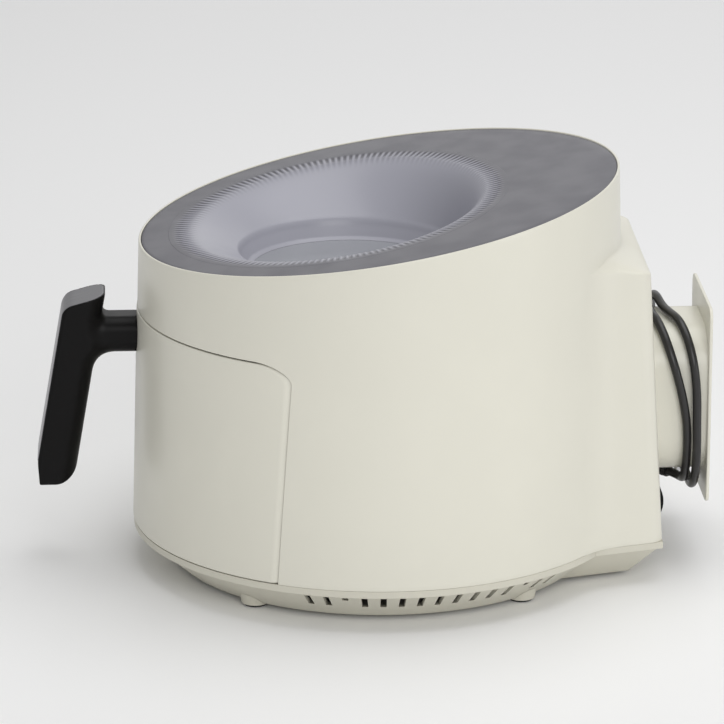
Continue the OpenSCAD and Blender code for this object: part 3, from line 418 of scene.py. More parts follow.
def moulded(name, color, roughness, grain=0.00003, grain_scale=900, mottle=0.04, worn=0.4, painted_shade=None, **sockets):
    """Moulded plastic: a fine spark-eroded grain, faint flow mottling and slightly varied gloss, and, where asked,
    painted shade that darkens its inner side.
    """
    look = Look(name, color, roughness)
    darker = tuple(c * (1 - 2 * mottle) for c in color)
    paler = tuple(min(1, c * (1 + mottle)) for c in color)
    look.tint(look.ramp(look.noise(9, 4), 0.35, 0.75), darker, 0.35)
    look.tint(look.ramp(look.noise(26, 3), 0.5, 0.8), paler, 0.35)
    look.rougher(look.ramp(look.noise(38, 5), 0.3, 0.7, -0.5, 0.5), 0.07)
    look.raised(look.noise(grain_scale, 2), grain, 0.5)
    look.raised(look.noise(22, 2), 0.00025, 0.25)
    if worn:
        look.worn(paler, worn)
    # painted shade: where the inside attribute marks the shell's cut edges and inner side, the colour is tinted
    # near-black to stand in for the shade in the gaps round the drawer and rear cover
    if painted_shade == "inside":
        look.tint(look.node("ShaderNodeAttribute", attribute_name="inside").outputs["Fac"], (0.03, 0.027, 0.023), 0.9)
    # painted shade: faces turned toward the body's axis, the base's inner side, are tinted dark brown to stand in for
    # the shade inside it
    if painted_shade == "inward":
        look.tint(look.facing_in(), (0.035, 0.026, 0.018), 0.9)
    return look.done(**sockets)


def brushed(name, color, roughness, stretch=(1, 1, 40), scale=60, **sockets):
    """Brushed or rolled metal: streaks one way, with smudges."""
    look = Look(name, color, roughness, metallic=1.0)
    streak = look.noise(scale, 4, stretch)
    look.tint(look.ramp(streak, 0.3, 0.7), tuple(c * 0.82 for c in color), 0.6)
    look.rougher(look.ramp(streak, 0.3, 0.7, -0.5, 0.5), 0.12)
    look.rougher(look.ramp(look.noise(20, 3), 0.45, 0.8), 0.1)
    look.raised(streak, 0.00002, 0.5)
    look.worn(tuple(min(1, c * 1.2) for c in color), 0.5)
    return look.done(**sockets)


def make_materials():
    cream = (0.755, 0.738, 0.645)
    # the body's inner side and cut edges get painted shade, tinted near-black
    body = moulded("cream_plastic", cream, 0.36, worn=0.15, painted_shade="inside", Coat_Weight=0.12, Coat_Roughness=0.2)
    # the base's inward faces get painted shade, tinted dark brown
    base = moulded("cream_base_plastic", (0.64, 0.62, 0.53), 0.45, grain=0.00005, painted_shade="inward")
    black = moulded(
        "satin_black_plastic",
        (0.0035, 0.0032, 0.0034),
        0.38,
        grain=0.00003,
        grain_scale=1300,
        Specular_IOR_Level=0.15,
    )
    trim = brushed("dark_brushed_trim", (0.36, 0.357, 0.372), 0.42, stretch=(40, 1, 1))
    top = moulded("dark_top_plate", DARK_PLATE, 0.33, grain=0.00001, mottle=0.02, worn=0, Specular_IOR_Level=0.4)
    bowl = moulded("silver_grey_plastic", SILVER_GREY, 0.26, grain=0.00001, mottle=0.02, worn=0)
    rubber = moulded("rubber", (0.02, 0.02, 0.02), 0.7, grain=0.00008)
    sheath = moulded("cord_sheath", (0.016, 0.015, 0.015), 0.33, grain=0.00003, grain_scale=1600)
    screw = brushed("plated_screws", (0.5, 0.5, 0.51), 0.3, scale=200)
    steel = brushed("sheet_steel", (0.55, 0.55, 0.56), 0.35)
    reflector = brushed("bright_sheet", (0.75, 0.75, 0.76), 0.22)
    tube = moulded("heater_sheath", (0.12, 0.1, 0.09), 0.5, mottle=0.2)
    stack = brushed("laminations", (0.3, 0.22, 0.17), 0.45, stretch=(1, 60, 1))
    board = moulded("circuit_board", (0.03, 0.14, 0.06), 0.4, mottle=0.1)
    part = moulded("component_plastic", (0.04, 0.04, 0.045), 0.5)
    ceramic = moulded("ceramic", (0.7, 0.68, 0.6), 0.6, grain=0.0001)
    coating = Look("nonstick_coating", (0.03, 0.03, 0.033), 0.38)
    coating.tint(coating.ramp(coating.noise(1400, 2), 0.55, 0.62), (0.13, 0.13, 0.14), 0.7)
    coating.rougher(coating.ramp(coating.noise(30, 4), 0.3, 0.7, -0.5, 0.5), 0.12)
    coating.raised(coating.noise(700, 3), 0.00005, 0.6)
    coating = coating.done()
    glass = Look("window_glass", (0.36, 0.37, 0.4), 0.12)
    glass.rougher(glass.ramp(glass.noise(18, 4), 0.4, 0.8), 0.1)
    glass.raised(glass.noise(12, 2), 0.0002, 0.15)
    glass.raised(glass.noise(40, 3, (1, 14, 1)), 0.00003, 0.3)
    glass = glass.done(Transmission_Weight=0.12, IOR=1.5)
    return {
        "body_plastic": body,
        "base": base,
        "handle_plastic": black,
        "handle_trim": trim,
        "top_plate": top,
        "bowl_plastic": bowl,
        "glass": glass,
        "rubber": rubber,
        "cord_rubber": sheath,
        "screw_steel": screw,
        "sheet_steel": steel,
        "reflector": reflector,
        "heater_tube": tube,
        "lamination": stack,
        "circuit_board": board,
        "component": part,
        "ceramic": ceramic,
        "nonstick": coating,
    }


def finished(piece, material, body, slot, *nodes):
    """Gives the piece its material and its body, and hides the CAD nodes that it stands for; the slot argument is not
    used.
    """
    piece.data.materials.clear()
    piece.data.materials.append(material)
    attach(piece, body)
    if nodes:
        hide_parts(*nodes)
    return piece


# ---------------------------------------------------------------- camera and cord


def make_camera():
    camera = bpy.data.objects.new("camera", bpy.data.cameras.new("camera"))
    bpy.context.scene.collection.objects.link(camera)
    camera.location = (2.6202, -0.1469, 0.9323)
    aim = Vector((0, -0.0053, 0.1197)) - camera.location
    camera.rotation_euler = aim.to_track_quat("-Z", "Y").to_euler()
    camera.data.lens = 225.4
    camera.data.sensor_width = 36
    bpy.context.scene.camera = camera


BOOT_X = -14.0
BOOT_H = CORE_MID_H - CORE_H / 2 - 6.5
BOOT_Y = REAR_Y - math.tan(REAR_LEAN) * (BOOT_H - SEAM_H)
BOOT_TURN = math.radians(30)
BOOT_LEN = 24.0
BOOT_R = 5.0
PLUG_T = 15.0
HALF_W = CORE_W / 2 + CORD_R + 1
PLUG_X = -HALF_W - CORD_R - 1 - PLUG_T / 2
PLUG_Y = FLANGE_Y - 15
PLUG_TOP_H = CORE_MID_H - 8


def cord_route():
    """The cord's centre line: out of the boot, round the spool's core and down to the plug."""
    half_h = CORE_H / 2 + CORD_R + 1
    turn_r = CORE_CORNER + CORD_R + 1
    run_w = HALF_W - turn_r
    run_h = 2 * (half_h - turn_r)
    arc = turn_r * math.pi / 2
    s1 = run_w
    s2 = s1 + arc
    s3 = s2 + run_h
    s4 = s3 + arc
    s5 = s4 + 2 * run_w
    s6 = s5 + arc
    s7 = s6 + run_h
    s8 = s7 + arc
    lap = s8 + run_w
    layer = 2 * CORD_R + 1
    front_lay = FLANGE_Y - 31
    top_lay = FLANGE_Y - 25.5
    fall_s = lap + s3 - 20
    top_s = lap + s5 + 22
    end_s = lap + s6 + 4
    settle_len = 24
    back_lay = FLANGE_Y - 6.8
    end_x = BOOT_X + BOOT_LEN * math.cos(BOOT_TURN)
    end_y = BOOT_Y + BOOT_LEN * math.sin(BOOT_TURN)
    turn_in = 24
    turn_s = end_x + 5
    turned_s = turn_s + turn_in * math.sin(BOOT_TURN)
    turned_y = end_y + 5 * math.tan(BOOT_TURN) + turn_in * (1 - math.cos(BOOT_TURN))
    lay_s = turned_s + 35

    def around(s, out):
        r = turn_r + out
        if s < s1:
            return s, -half_h - out
        if s < s2:
            t = (s - s1) / turn_r
            return run_w + r * math.sin(t), -run_h / 2 - r * math.cos(t)
        if s < s3:
            return HALF_W + out, -run_h / 2 + s - s2
        if s < s4:
            t = (s - s3) / turn_r
            return run_w + r * math.cos(t), run_h / 2 + r * math.sin(t)
        if s < s5:
            return run_w - (s - s4), half_h + out
        if s < s6:
            t = (s - s5) / turn_r
            return -run_w - r * math.sin(t), run_h / 2 + r * math.cos(t)
        if s < s7:
            return -HALF_W - out, run_h / 2 - (s - s6)
        if s < s8:
            t = (s - s7) / turn_r
            return -run_w - r * math.cos(t), -run_h / 2 - r * math.sin(t)
        return -run_w + s - s8, -half_h - out

    def ease(t):
        return (1 - math.cos(math.pi * min(1, max(0, t)))) / 2

    def between(s, a, b, start, end):
        return start + (end - start) * ease((s - a) / (b - a))

    def along(s):
        if s < turn_s:
            return end_y + (s - end_x) * math.tan(BOOT_TURN)
        if s < turned_s:
            return turned_y - turn_in + math.sqrt(turn_in**2 - (turned_s - s) ** 2)
        if s < lap * 0.5:
            return between(s, lay_s, lap * 0.5, turned_y, front_lay)
        if s < lap * 0.95:
            return between(s, lap * 0.5, lap * 0.95, front_lay, back_lay)
        if s < top_s:
            return between(s, fall_s, top_s, back_lay, top_lay)
        return between(s, top_s, end_s + settle_len, top_lay, PLUG_Y)

    def outward(s):
        if s < lap * 0.5:
            return between(s, 10, s2, CORE_MID_H - half_h - BOOT_H, 0)
        if s < lap:
            return between(s, lap * 0.76, lap * 0.92, 0, layer)
        if s < lap * 1.4:
            return between(s, lap + s1 * 2, lap + s3, layer, 0)
        return between(s, lap * 1.5, lap * 1.64, 0, layer)

    def wound(s):
        x, z = around(s % lap, outward(s))
        return x, along(s), CORE_MID_H + z

    start_s = end_x - 5
    count = 264
    points = [wound(start_s + (end_s - start_s) * i / count) for i in range(count + 1)]
    drop = wound(end_s)
    drop_len = drop[2] - PLUG_TOP_H + 6
    steps = 20
    for i in range(1, steps + 1):
        t = i / steps
        x = drop[0] + (PLUG_X - drop[0]) * ease(t * 1.25)
        points.append((x, along(end_s + drop_len * t), drop[2] - drop_len * t))
    return np.array(points)


def make_cord(look):
    route = place(cord_route())
    curve = bpy.data.curves.new("mains_cord", "CURVE")
    curve.dimensions = "3D"
    curve.bevel_depth = CORD_R * MM
    curve.bevel_resolution = 6
    curve.use_fill_caps = True
    spline = curve.splines.new("POLY")
    spline.points.add(len(route) - 1)
    for point, place_at in zip(spline.points, route):
        point.co = (*place_at, 1)
    spline.use_smooth = True
    cord = bpy.data.objects.new("mains_cord", curve)
    bpy.context.scene.collection.objects.link(cord)
    finished(cord, look["cord_rubber"], "housing", "cord_rubber", "cord")
    return cord


# ---------------------------------------------------------------- body shell


def plane_height(y, drop=0.0):
    """Height of the sloping top's plane at y, or of one that lies drop below it."""
    return TOP_MID_H + math.tan(TILT) * y - drop / math.cos(TILT)


def housing_r(angle, z):
    """Reach of the rear housing's walls and of its roof from the body's axis."""
    c, s = np.cos(angle), np.maximum(np.sin(angle), 0.05)
    rear = (REAR_Y - math.tan(REAR_LEAN) * (z - SEAM_H)) / s
    roof = (ROOF_Y + (ROOF_H - z) / ROOF_SLOPE) / s
    turn, lean = math.radians(16.4), math.radians(3.1)
    nx, ny, nz = math.cos(turn) * math.cos(lean), math.sin(turn) * math.cos(lean), math.sin(lean)
    side = (nx * REAR_HALF_W + ny * REAR_Y + nz * (SEAM_H - z)) / (nx * np.abs(c) + ny * s)
    walls = soft_min(rear, side, 9.0)
    return np.where(np.sin(angle) > 0.2, walls, 0), np.where(np.sin(angle) > 0.2, roof, 0)


def shell_r(angle, z):
    """Reach of the whole body, the housing blended softly into the tapered drum."""
    drum = body_r_at(z) + 0 * angle
    walls, roof = housing_r(angle, z)
    rounded = soft_min(soft_max(drum, walls, 12.0), soft_max(drum, roof, 30.0), 20.0)
    return np.where(np.sin(angle) > 0.2, np.maximum(rounded, drum), drum)


def make_body(look):
    angles = np.radians(np.concatenate([np.arange(-90, 38, 1.5), np.arange(38, 142, 0.5), np.arange(142, 270, 1.5)]))
    steps = np.concatenate([np.linspace(0, 0.66, 50), np.linspace(0.66, 0.84, 80)[1:], np.linspace(0.84, 1, 14)[1:]])
    rim = [(0.08, 0.3), (0.3, 0.08), (0.6, 0.0), (RIM_T - 0.45, 0.0), (RIM_T - 0.15, 0.1), (RIM_T, 0.35)]
    ledge_r = WALL + 1.5
    ledge = [(RIM_T, LEDGE_DROP), (ledge_r, LEDGE_DROP), (ledge_r, LEDGE_DROP + 2), (WALL, LEDGE_DROP + 4)]
    columns = []
    for a in angles:
        r_top = body_r_at(TOP_MID_H)
        for _ in range(4):
            r_top = body_r_at(plane_height(r_top * math.sin(a)))
        z_top = plane_height(r_top * math.sin(a))
        outer = [(0.5, SEAM_H), (0.15, SEAM_H + 0.13), (0.0, SEAM_H + 0.5)]
        z = SEAM_H + 0.5 + (z_top - 0.6 - SEAM_H - 0.5) * steps
        r = shell_r(np.full_like(z, a), z)
        low_r = r[0]
        profile = [(low_r - inset, h) for inset, h in outer[:2]]
        profile += list(zip(r, z))
        for inset, drop in rim:
            rim_r = r_top - inset
            profile.append((rim_r, plane_height(rim_r * math.sin(a)) - drop))
        for inset, drop in ledge:
            rim_r = r_top - inset
            profile.append((rim_r, plane_height(rim_r * math.sin(a), drop)))
        z_in = np.concatenate([np.linspace(profile[-1][1] - 3, 150, 40), np.linspace(150, SEAM_H, 8)[1:]])
        z_in = np.minimum(z_in, profile[-1][1] - 3)
        r_in = np.minimum(shell_r(np.full_like(z_in, a), z_in), shell_r(np.full_like(z_in, a), z_in + WALL)) - WALL
        profile += list(zip(r_in, z_in))
        columns.append([(rr * math.cos(a), rr * math.sin(a), zz) for rr, zz in profile])
    shell = grid_object("body", np.array(columns), wrap_rows=True, wrap_cols=True, flip=True)
    outline = rounded_outline(
        PANEL_HALF_W + PANEL_GAP, SEAM_H - 8, PANEL_TOP + PANEL_GAP, PANEL_CORNER + PANEL_GAP, 1.0, 20
    )
    cutter = np.array([[(u, y, v) for u, v in outline] for y in (-BODY_R - 20, -BODY_R * 0.3)])
    cut_with(shell, grid_object("drawer_cutter", cutter, wrap_cols=True, caps=True, flip=True))
    corners = np.array([(-1, 0), (1, 0), (1, 1), (-1, 1)])
    box = []
    for depth in (-WALL - 1.5, 1.0):
        ring = []
        for su, sv in corners:
            h = COVER_LOW if sv == 0 else COVER_HIGH
            y = REAR_Y + depth * math.cos(REAR_LEAN) - h * math.sin(REAR_LEAN)
            ring.append((su * COVER_HALF_W, y, SEAM_H + h * math.cos(REAR_LEAN) + depth * math.sin(REAR_LEAN)))
        box.append(ring)
    cut_with(shell, grid_object("cover_cutter", np.array(box), wrap_cols=True, caps=True, flip=True))
    resharpen(shell, 30)
    # marks where painted shade darkens the shell's inner side and cut edges
    mark_painted_shade(shell)
    return finished(shell, look["body_plastic"], "housing", "body_plastic", "body_shell")


def mark_painted_shade(shell):
    """Marks how far each point lies behind the outer skin, where painted shade darkens the inner side and cut edges.
    """
    points = np.empty(len(shell.data.vertices) * 3, np.float32)
    shell.data.vertices.foreach_get("co", points)
    x, y, z = points.reshape(-1, 3).T / MM
    y = y - AXIS_Y
    depth = shell_r(np.arctan2(y, x), z) - np.hypot(x, y)
    top = plane_height(y) - z
    # painted shade mask: 1 on the cut edges and inner side below the ledge, 0 on the outer skin
    mark = shell.data.attributes.new("inside", "FLOAT", "POINT")
    mark.data.foreach_set("value", (smooth((depth - 0.3) / 0.6) * (top > LEDGE_DROP - 0.5)).astype(np.float32))


def make_drawer_front(look):
    def outline(inset):
        return rounded_outline(
            PANEL_HALF_W - inset, PANEL_LOW + inset, PANEL_TOP - inset, PANEL_CORNER - inset, max(1.2 - inset, 0.2)
        )

    def to_space(u, v, depth):
        r = body_r_at(v) + PANEL_PROUD - depth
        return np.stack([u, -np.sqrt(r**2 - u**2), v], -1)

    middle = (0, (PANEL_LOW + PANEL_TOP) / 2)
    panel = plate_object("drawer_panel", outline, PANEL_T, to_space, middle, edge=0.7, inner_rings=26, flip=True)
    return finished(panel, look["body_plastic"], "drawer", "body_plastic", "drawer_front")


# ---------------------------------------------------------------- sloping top


def on_top(x, v, w):
    """A point on the sloping top: x across, v up the slope from the axis, w out of its plane."""
    return np.stack(
        [x, v * math.cos(TILT) - w * math.sin(TILT), TOP_MID_H + v * math.sin(TILT) + w * math.cos(TILT)], -1
    )


def make_top_plate(look):
    count = 240
    beta = np.linspace(0, 2 * math.pi, count, endpoint=False)
    c, s = np.cos(beta), np.sin(beta)
    inner = 1 / np.sqrt((c / RING_X_R) ** 2 + (s / RING_Y_R) ** 2)
    low, high = np.full(count, 80.0), np.full(count, 220.0)
    for _ in range(40):
        mid = (low + high) / 2
        p = on_top(mid * c, RING_Y + mid * s, -PLATE_DROP)
        outside = np.hypot(p[:, 0], p[:, 1]) > body_r_at(p[:, 2]) - RIM_T - SLIP
        high = np.where(outside, mid, high)
        low = np.where(outside, low, mid)
    outer = low
    rings = []

    def ring(reach, drop):
        rings.append(on_top(reach * c, RING_Y + reach * s, np.full(count, -drop)))

    ring(inner, LEDGE_DROP)
    for inset, drop in ((0, 0.04), (0.05, 0.0), (0.12, 0.0), (0.5, 0.0)):
        ring(inner + inset, PLATE_DROP + drop)
    for t in np.linspace(0, 1, 9)[1:-1]:
        ring(inner + 0.5 + (outer - inner - 1.0) * t, PLATE_DROP)
    for inset, drop in ((0.5, 0.0), (0.2, 0.06), (0.06, 0.2), (0, 0.5)):
        ring(outer - inset, PLATE_DROP + drop)
    ring(outer, LEDGE_DROP)
    plate = grid_object("top_plate", np.array(rings), wrap_rows=True, wrap_cols=True, flip=True)
    return finished(plate, look["top_plate"], "housing", "top_plate", "top_panel")


def fluted_material(top, bowl):
    """Silver-grey ribs that fade out of the dark plate's colour, by the mesh's own rib value."""
    look = Look("fluted_ring_plastic", DARK_PLATE, 0.33)
    rib = look.node("ShaderNodeAttribute", attribute_name="rib").outputs["Fac"]
    look.tint(rib, SILVER_GREY)
    look.tint(look.ramp(look.noise(30, 3), 0.5, 0.8), (0.38, 0.38, 0.42), 0.1)
    look.rougher(look.ramp(look.noise(38, 5), 0.3, 0.7, -0.5, 0.5), 0.06)
    look.raised(look.noise(900, 2), 0.00001, 0.5)
    look.raised(look.noise(22, 2), 0.0001, 0.15)
    return look.done(Specular_IOR_Level=0.4)


FLUTES = 160


def make_window(look):
    """The fluted ring, the bowl and the well wall, as one closed shell."""
    per_flute = 10
    count = FLUTES * per_flute
    beta = np.linspace(0, 2 * math.pi, count, endpoint=False)
    c, s = np.cos(beta), np.sin(beta)
    wave = 0.5 + 0.5 * np.cos(FLUTES * beta + 0.3)
    rings, light = [], []

    def circle(r, z):
        return np.stack([r * c, WELL_Y + r * s, z + 0 * c], -1)

    def ring(shrink, drop, shade=0.0):
        rings.append(on_top((RING_X_R - shrink) * c, RING_Y + (RING_Y_R - shrink) * s, -(drop + 0 * c)))
        light.append(shade + 0 * c)

    ring(0.0, LEDGE_DROP)
    ring(0.0, PLATE_DROP + 0.04)
    ring(0.05, PLATE_DROP)
    lip = circle(WELL_TOP_R + 1.2, WELL_TOP_H + 0.9)
    up = on_top(0 * c, 0 * c, 1 + 0 * c) - on_top(0 * c, 0 * c, 0 * c)

    def band(shrink, drop):
        return on_top((RING_X_R - shrink) * c, RING_Y + (RING_Y_R - shrink) * s, -(drop + 0 * c))

    start, bend = band(RING_BAND, RING_DROP), band(RING_BAND + 9, RING_DROP + 2.0)
    bend2 = bend * 0.3 + lip * 0.7
    bend2[:, 2] -= BOWL_SAG * 0.2

    def add_ribbed(p, run):
        rib = wave**1.2
        ground = smooth((run - 0.45) / 0.95)
        mark = smooth((rib - 0.2) / 0.6) * smooth((run - 0.12) / 0.5)
        swell = smooth((run - 0.15) / 0.4) * (1 - smooth((run - 0.75) / 0.6))
        rings.append(p + up * (swell * (rib - 0.75) * 0.5)[:, None])
        light.append(np.clip(ground + (1 - ground) * mark * 0.85, 0, 1))

    for t in np.linspace(0, 1, 20):
        add_ribbed(band(0.3 + (RING_BAND - 0.3) * t, PLATE_DROP + (RING_DROP - PLATE_DROP) * t * t), t)
    for t in np.linspace(0, 1, 26)[1:]:
        p = (1 - t) ** 3 * start + 3 * t * (1 - t) ** 2 * bend + 3 * t * t * (1 - t) * bend2 + t**3 * lip
        add_ribbed(p, 1 + t * 1.6)
    for r, z in (
        (WELL_TOP_R + 0.5, WELL_TOP_H + 0.1),
        (WELL_TOP_R - 0.2, WELL_TOP_H - 1.1),
        (WELL_TOP_R - 0.8, WELL_TOP_H - 2.6),
        (WELL_TOP_R - 1.4, WELL_TOP_H - 4.2),
        (WELL_TOP_R - 2.4, (WELL_TOP_H + WELL_LOW_H) / 2),
        (WELL_LOW_R + 0.9, WELL_LOW_H + 1.9),
        (WELL_LOW_R + 0.5, WELL_LOW_H + 1.3),
        (WELL_LOW_R - 0.2, WELL_LOW_H + 0.85),
        (WELL_LOW_R - 1.2, WELL_LOW_H + 0.45),
        (WELL_LOW_R - 2.2, WELL_LOW_H + 0.02),
        (WELL_LOW_R - 2.5, WELL_LOW_H - 0.29),
        (WELL_TOP_R + 3.5, WELL_LOW_H - 0.29),
        (WELL_TOP_R + 3.5, WELL_TOP_H - 2.6),
    ):
        rings.append(circle(r, z))
        light.append(1 + 0 * c)
    under_top = band(0.05, LEDGE_DROP + 0.5)
    under = band(RING_BAND + 3, RING_DROP + 3.6)
    low = circle(WELL_TOP_R + 3.5, WELL_TOP_H - 2.6)
    under2 = under * 0.45 + low * 0.55
    under2[:, 2] -= BOWL_SAG * 1.6
    for t in (0.85, 0.7, 0.55, 0.4, 0.25, 0.1, 0.0):
        upper = (1 - t) ** 3 * under_top + 3 * t * (1 - t) ** 2 * under
        rings.append(upper + 3 * t * t * (1 - t) * under2 + t**3 * low)
        light.append(1 + 0 * c)
    window = grid_object("window_bowl", np.array(rings), wrap_rows=True, wrap_cols=True, sharp=50)
    rib = window.data.attributes.new("rib", "FLOAT", "POINT")
    rib.data.foreach_set("value", np.concatenate(light).astype(np.float32))
    fluted = fluted_material(look["top_plate"], look["bowl_plastic"])
    return finished(window, fluted, "housing", "bowl_plastic", "window_funnel")


# ---------------------------------------------------------------- handle


def handle_points():
    """Named points of the handle's side outline, in y and z."""
    horn_back_y = -(body_r_at(ARM_MID_H) + ARM_FROM) - 17
    horn_back_h = ARM_MID_H + 26.3
    horn_front_h = horn_back_h - 7.2
    front_y = horn_back_y - 26
    return horn_back_y, horn_back_h, horn_front_h, front_y


def polygon_distance(y, z, outline):
    """Signed distance to a closed outline, below zero inside."""
    best = np.full(y.shape, 1e9)
    inside = np.zeros(y.shape, bool)
    count = len(outline)
    for i in range(count):
        ay, az = outline[i - 1]
        by, bz = outline[i]
        ey, ez = by - ay, bz - az
        wy, wz = y - ay, z - az
        t = np.clip((wy * ey + wz * ez) / (ey * ey + ez * ez), 0, 1)
        best = np.minimum(best, (wy - ey * t) ** 2 + (wz - ez * t) ** 2)
        crosses = (az > z) != (bz > z)
        safe = ez if abs(ez) > 1e-9 else 1e-9
        inside ^= crosses & (y < ay + (z - az) * ey / safe)
    return np.where(inside, -1, 1) * np.sqrt(best)


def filleted(corners, steps=12):
    """A closed outline through the corners (y, z, radius), each rounded by its radius."""
    outline = []
    count = len(corners)
    for i in range(count):
        here = np.array(corners[i][:2])
        to_last = np.array(corners[i - 1][:2]) - here
        to_next = np.array(corners[(i + 1) % count][:2]) - here
        to_last /= np.linalg.norm(to_last)
        to_next /= np.linalg.norm(to_next)
        half = math.acos(max(-1.0, min(1.0, float(to_last @ to_next)))) / 2
        radius = corners[i][2]
        if radius < 0.05:
            outline.append(tuple(here))
            continue
        reach = radius / math.tan(half)
        middle = to_last + to_next
        centre = here + middle / np.linalg.norm(middle) * radius / math.sin(half)
        start, end = here + to_last * reach - centre, here + to_next * reach - centre
        sweep = math.pi - 2 * half
        for k in range(steps + 1):
            t = k / steps
            arm = (math.sin((1 - t) * sweep) * start + math.sin(t * sweep) * end) / math.sin(sweep)
            outline.append(tuple(centre + arm))
    return outline


KNEE_RISE = 15.5
TOE_BACK = 1.0
TOP_CORNER_R = 9.5


def grip_profile():
    back_y, back_h, front_h, front_y = handle_points()
    knee_h = GRIP_LOW_H + KNEE_RISE

    def front(z):
        return front_y - GRIP_K * (front_h - z)

    corners = [
        (back_y, back_h, 0.9),
        (front(front_h), front_h, TOP_CORNER_R),
        (front(knee_h), knee_h, 26.0),
        (front(knee_h) + TOE_BACK, GRIP_LOW_H, 0.9),
        (front(GRIP_LOW_H) + GRIP_DEPTH + 0.6, GRIP_LOW_H, 14.5),
        (front(ARM_MID_H) + GRIP_DEPTH, ARM_MID_H, 0),
    ]
    return filleted(corners), front


def make_handle(look):
    profile, front = grip_profile()
    back_y, back_h, _, _ = handle_points()
    lean = math.sqrt(1 + GRIP_K**2)
    half = GRIP_W / 2
    arm_end = -(body_r_at(ARM_MID_H) + PANEL_PROUD)

    def distance(x, y, z):
        side = polygon_distance(y, z, profile)
        deep = (y - front(z)) / lean
        rise = np.clip((z - ARM_MID_H) / (back_h - ARM_MID_H), 0, 1)
        depth = (GRIP_DEPTH + rise * (back_y - front(back_h) - GRIP_DEPTH)) / lean
        r = np.where(deep < depth / 2, 2.4, 11.0)
        ax = np.abs(x) - half + r
        ad = np.abs(deep - depth / 2) - depth / 2 + r
        section = np.minimum(np.maximum(ax, ad), 0) + np.hypot(np.maximum(ax, 0), np.maximum(ad, 0)) - r
        grip = soft_max(side, section, 0.7)
        corner = 9.0
        bx = np.abs(x) - 14.5 + corner
        bz = np.abs(z - ARM_MID_H) - 11 + corner
        bar = np.minimum(np.maximum(bx, bz), 0) + np.hypot(np.maximum(bx, 0), np.maximum(bz, 0)) - corner
        bar = np.maximum(bar, front(z) + 17 - y)
        blend = 5.0 + 7.0 * smooth((ARM_MID_H + 6 - z) / 14)
        joined = np.maximum(soft_min(grip, bar, blend), np.abs(x) - half)
        return np.maximum(joined, body_r_at(z) + PANEL_PROUD + 0.05 - np.hypot(x, y))

    grip = net_object(
        "handle_grip", distance, (-half, front(GRIP_LOW_H) - 2, GRIP_LOW_H), (half, arm_end + 2, back_h), 0.9
    )
    return finished(grip, look["handle_plastic"], "drawer", "handle_plastic", "handle_body")


def make_inlay(look):
    """The metal strip set into the top and front of the grip, with rounded ends."""
    profile, front = grip_profile()
    back_y, back_h, front_h, _ = handle_points()
    proud, thick, half = 0.1, 1.2, 15.9
    line = [(back_y - 1.4, back_h - 1.4 * (back_h - front_h) / (back_y - front(front_h)))]
    low_h = GRIP_LOW_H + KNEE_RISE + 1.5
    line += [p for p in profile if p[0] < back_y - 3 and p[1] > low_h and p[0] < front(p[1]) + 16]
    end_h = GRIP_LOW_H + KNEE_RISE - 1
    line = sorted(line, key=lambda p: -p[1])
    line.append((front(end_h) + 0.12, end_h))
    line = np.array(line)
    reach = np.concatenate([[0], np.cumsum(np.linalg.norm(np.diff(line, axis=0), axis=1))])
    total = reach[-1]
    back_round, low_round = 10.0, 3.0
    near = back_round * (1 - np.cos(np.linspace(0, math.pi / 2, 14)))
    straight = np.linspace(back_round, total - low_round, 60)[1:]
    far = total - low_round * np.sin(np.linspace(math.pi / 2, 0, 8))[1:]
    stations = np.concatenate([near, straight, far])
    rows = []
    edge_steps = 0.02 * np.array([0.3, 1, 2.2])
    across = np.concatenate([[-1], -1 + edge_steps, np.linspace(-0.9, 0.9, 15), 1 - edge_steps[::-1], [1]])
    for s in stations:
        y, z = (np.interp(s, reach, line[:, i]) for i in (0, 1))
        y2, z2 = (np.interp(min(s + 0.5, total), reach, line[:, i]) for i in (0, 1))
        y1, z1 = (np.interp(max(s - 0.5, 0), reach, line[:, i]) for i in (0, 1))
        ty, tz = y2 - y1, z2 - z1
        size = math.hypot(ty, tz)
        ny, nz = tz / size, -ty / size
        if nz < 0 and abs(nz) > abs(ny) or ny > 0:
            ny, nz = -ny, -nz
        w = half
        if s < back_round:
            w = half - back_round + math.sqrt(max(0, back_round**2 - (back_round - s) ** 2))
        if s > total - low_round:
            w = half - low_round + math.sqrt(max(0, low_round**2 - (s - total + low_round) ** 2))
        edge = min(s, total - s, 0.8) / 0.8
        top = proud * (0.2 + 0.8 * math.sqrt(max(0.0, 1 - (1 - edge) ** 2)))
        row = []
        for u in across:
            side = 1 - max(0, (abs(u) - 0.95) / 0.05)
            lift = top * math.sqrt(max(0.0, 1 - (1 - side) ** 2))
            row.append((u * w, y + ny * lift, z + nz * lift))
        under = [(u * w, y - ny * thick, z - nz * thick) for u in across[::-1]]
        rows.append(row + under)
    strip = grid_object("handle_inlay_strip", np.array(rows), wrap_cols=True, caps=True, flip=True)
    return finished(strip, look["handle_trim"], "drawer", "handle_trim", "handle_inlay")


# ---------------------------------------------------------------- spool, boot and plug


def make_flange(look):
    corner = 7.0

    def outline(inset):
        return rounded_outline(
            FLANGE_HALF_W - inset, FLANGE_LOW + inset, FLANGE_HIGH - inset, corner - inset, corner - inset, 6
        )

    def to_space(u, v, depth):
        return np.stack([u, FLANGE_Y + FLANGE_T - depth + 0 * u, v], -1)

    flange = plate_object(
        "spool_end_plate", outline, FLANGE_T, to_space, (0, (FLANGE_LOW + FLANGE_HIGH) / 2), edge=0.6
    )
    return finished(flange, look["body_plastic"], "housing", "body_plastic", "spool_flange")


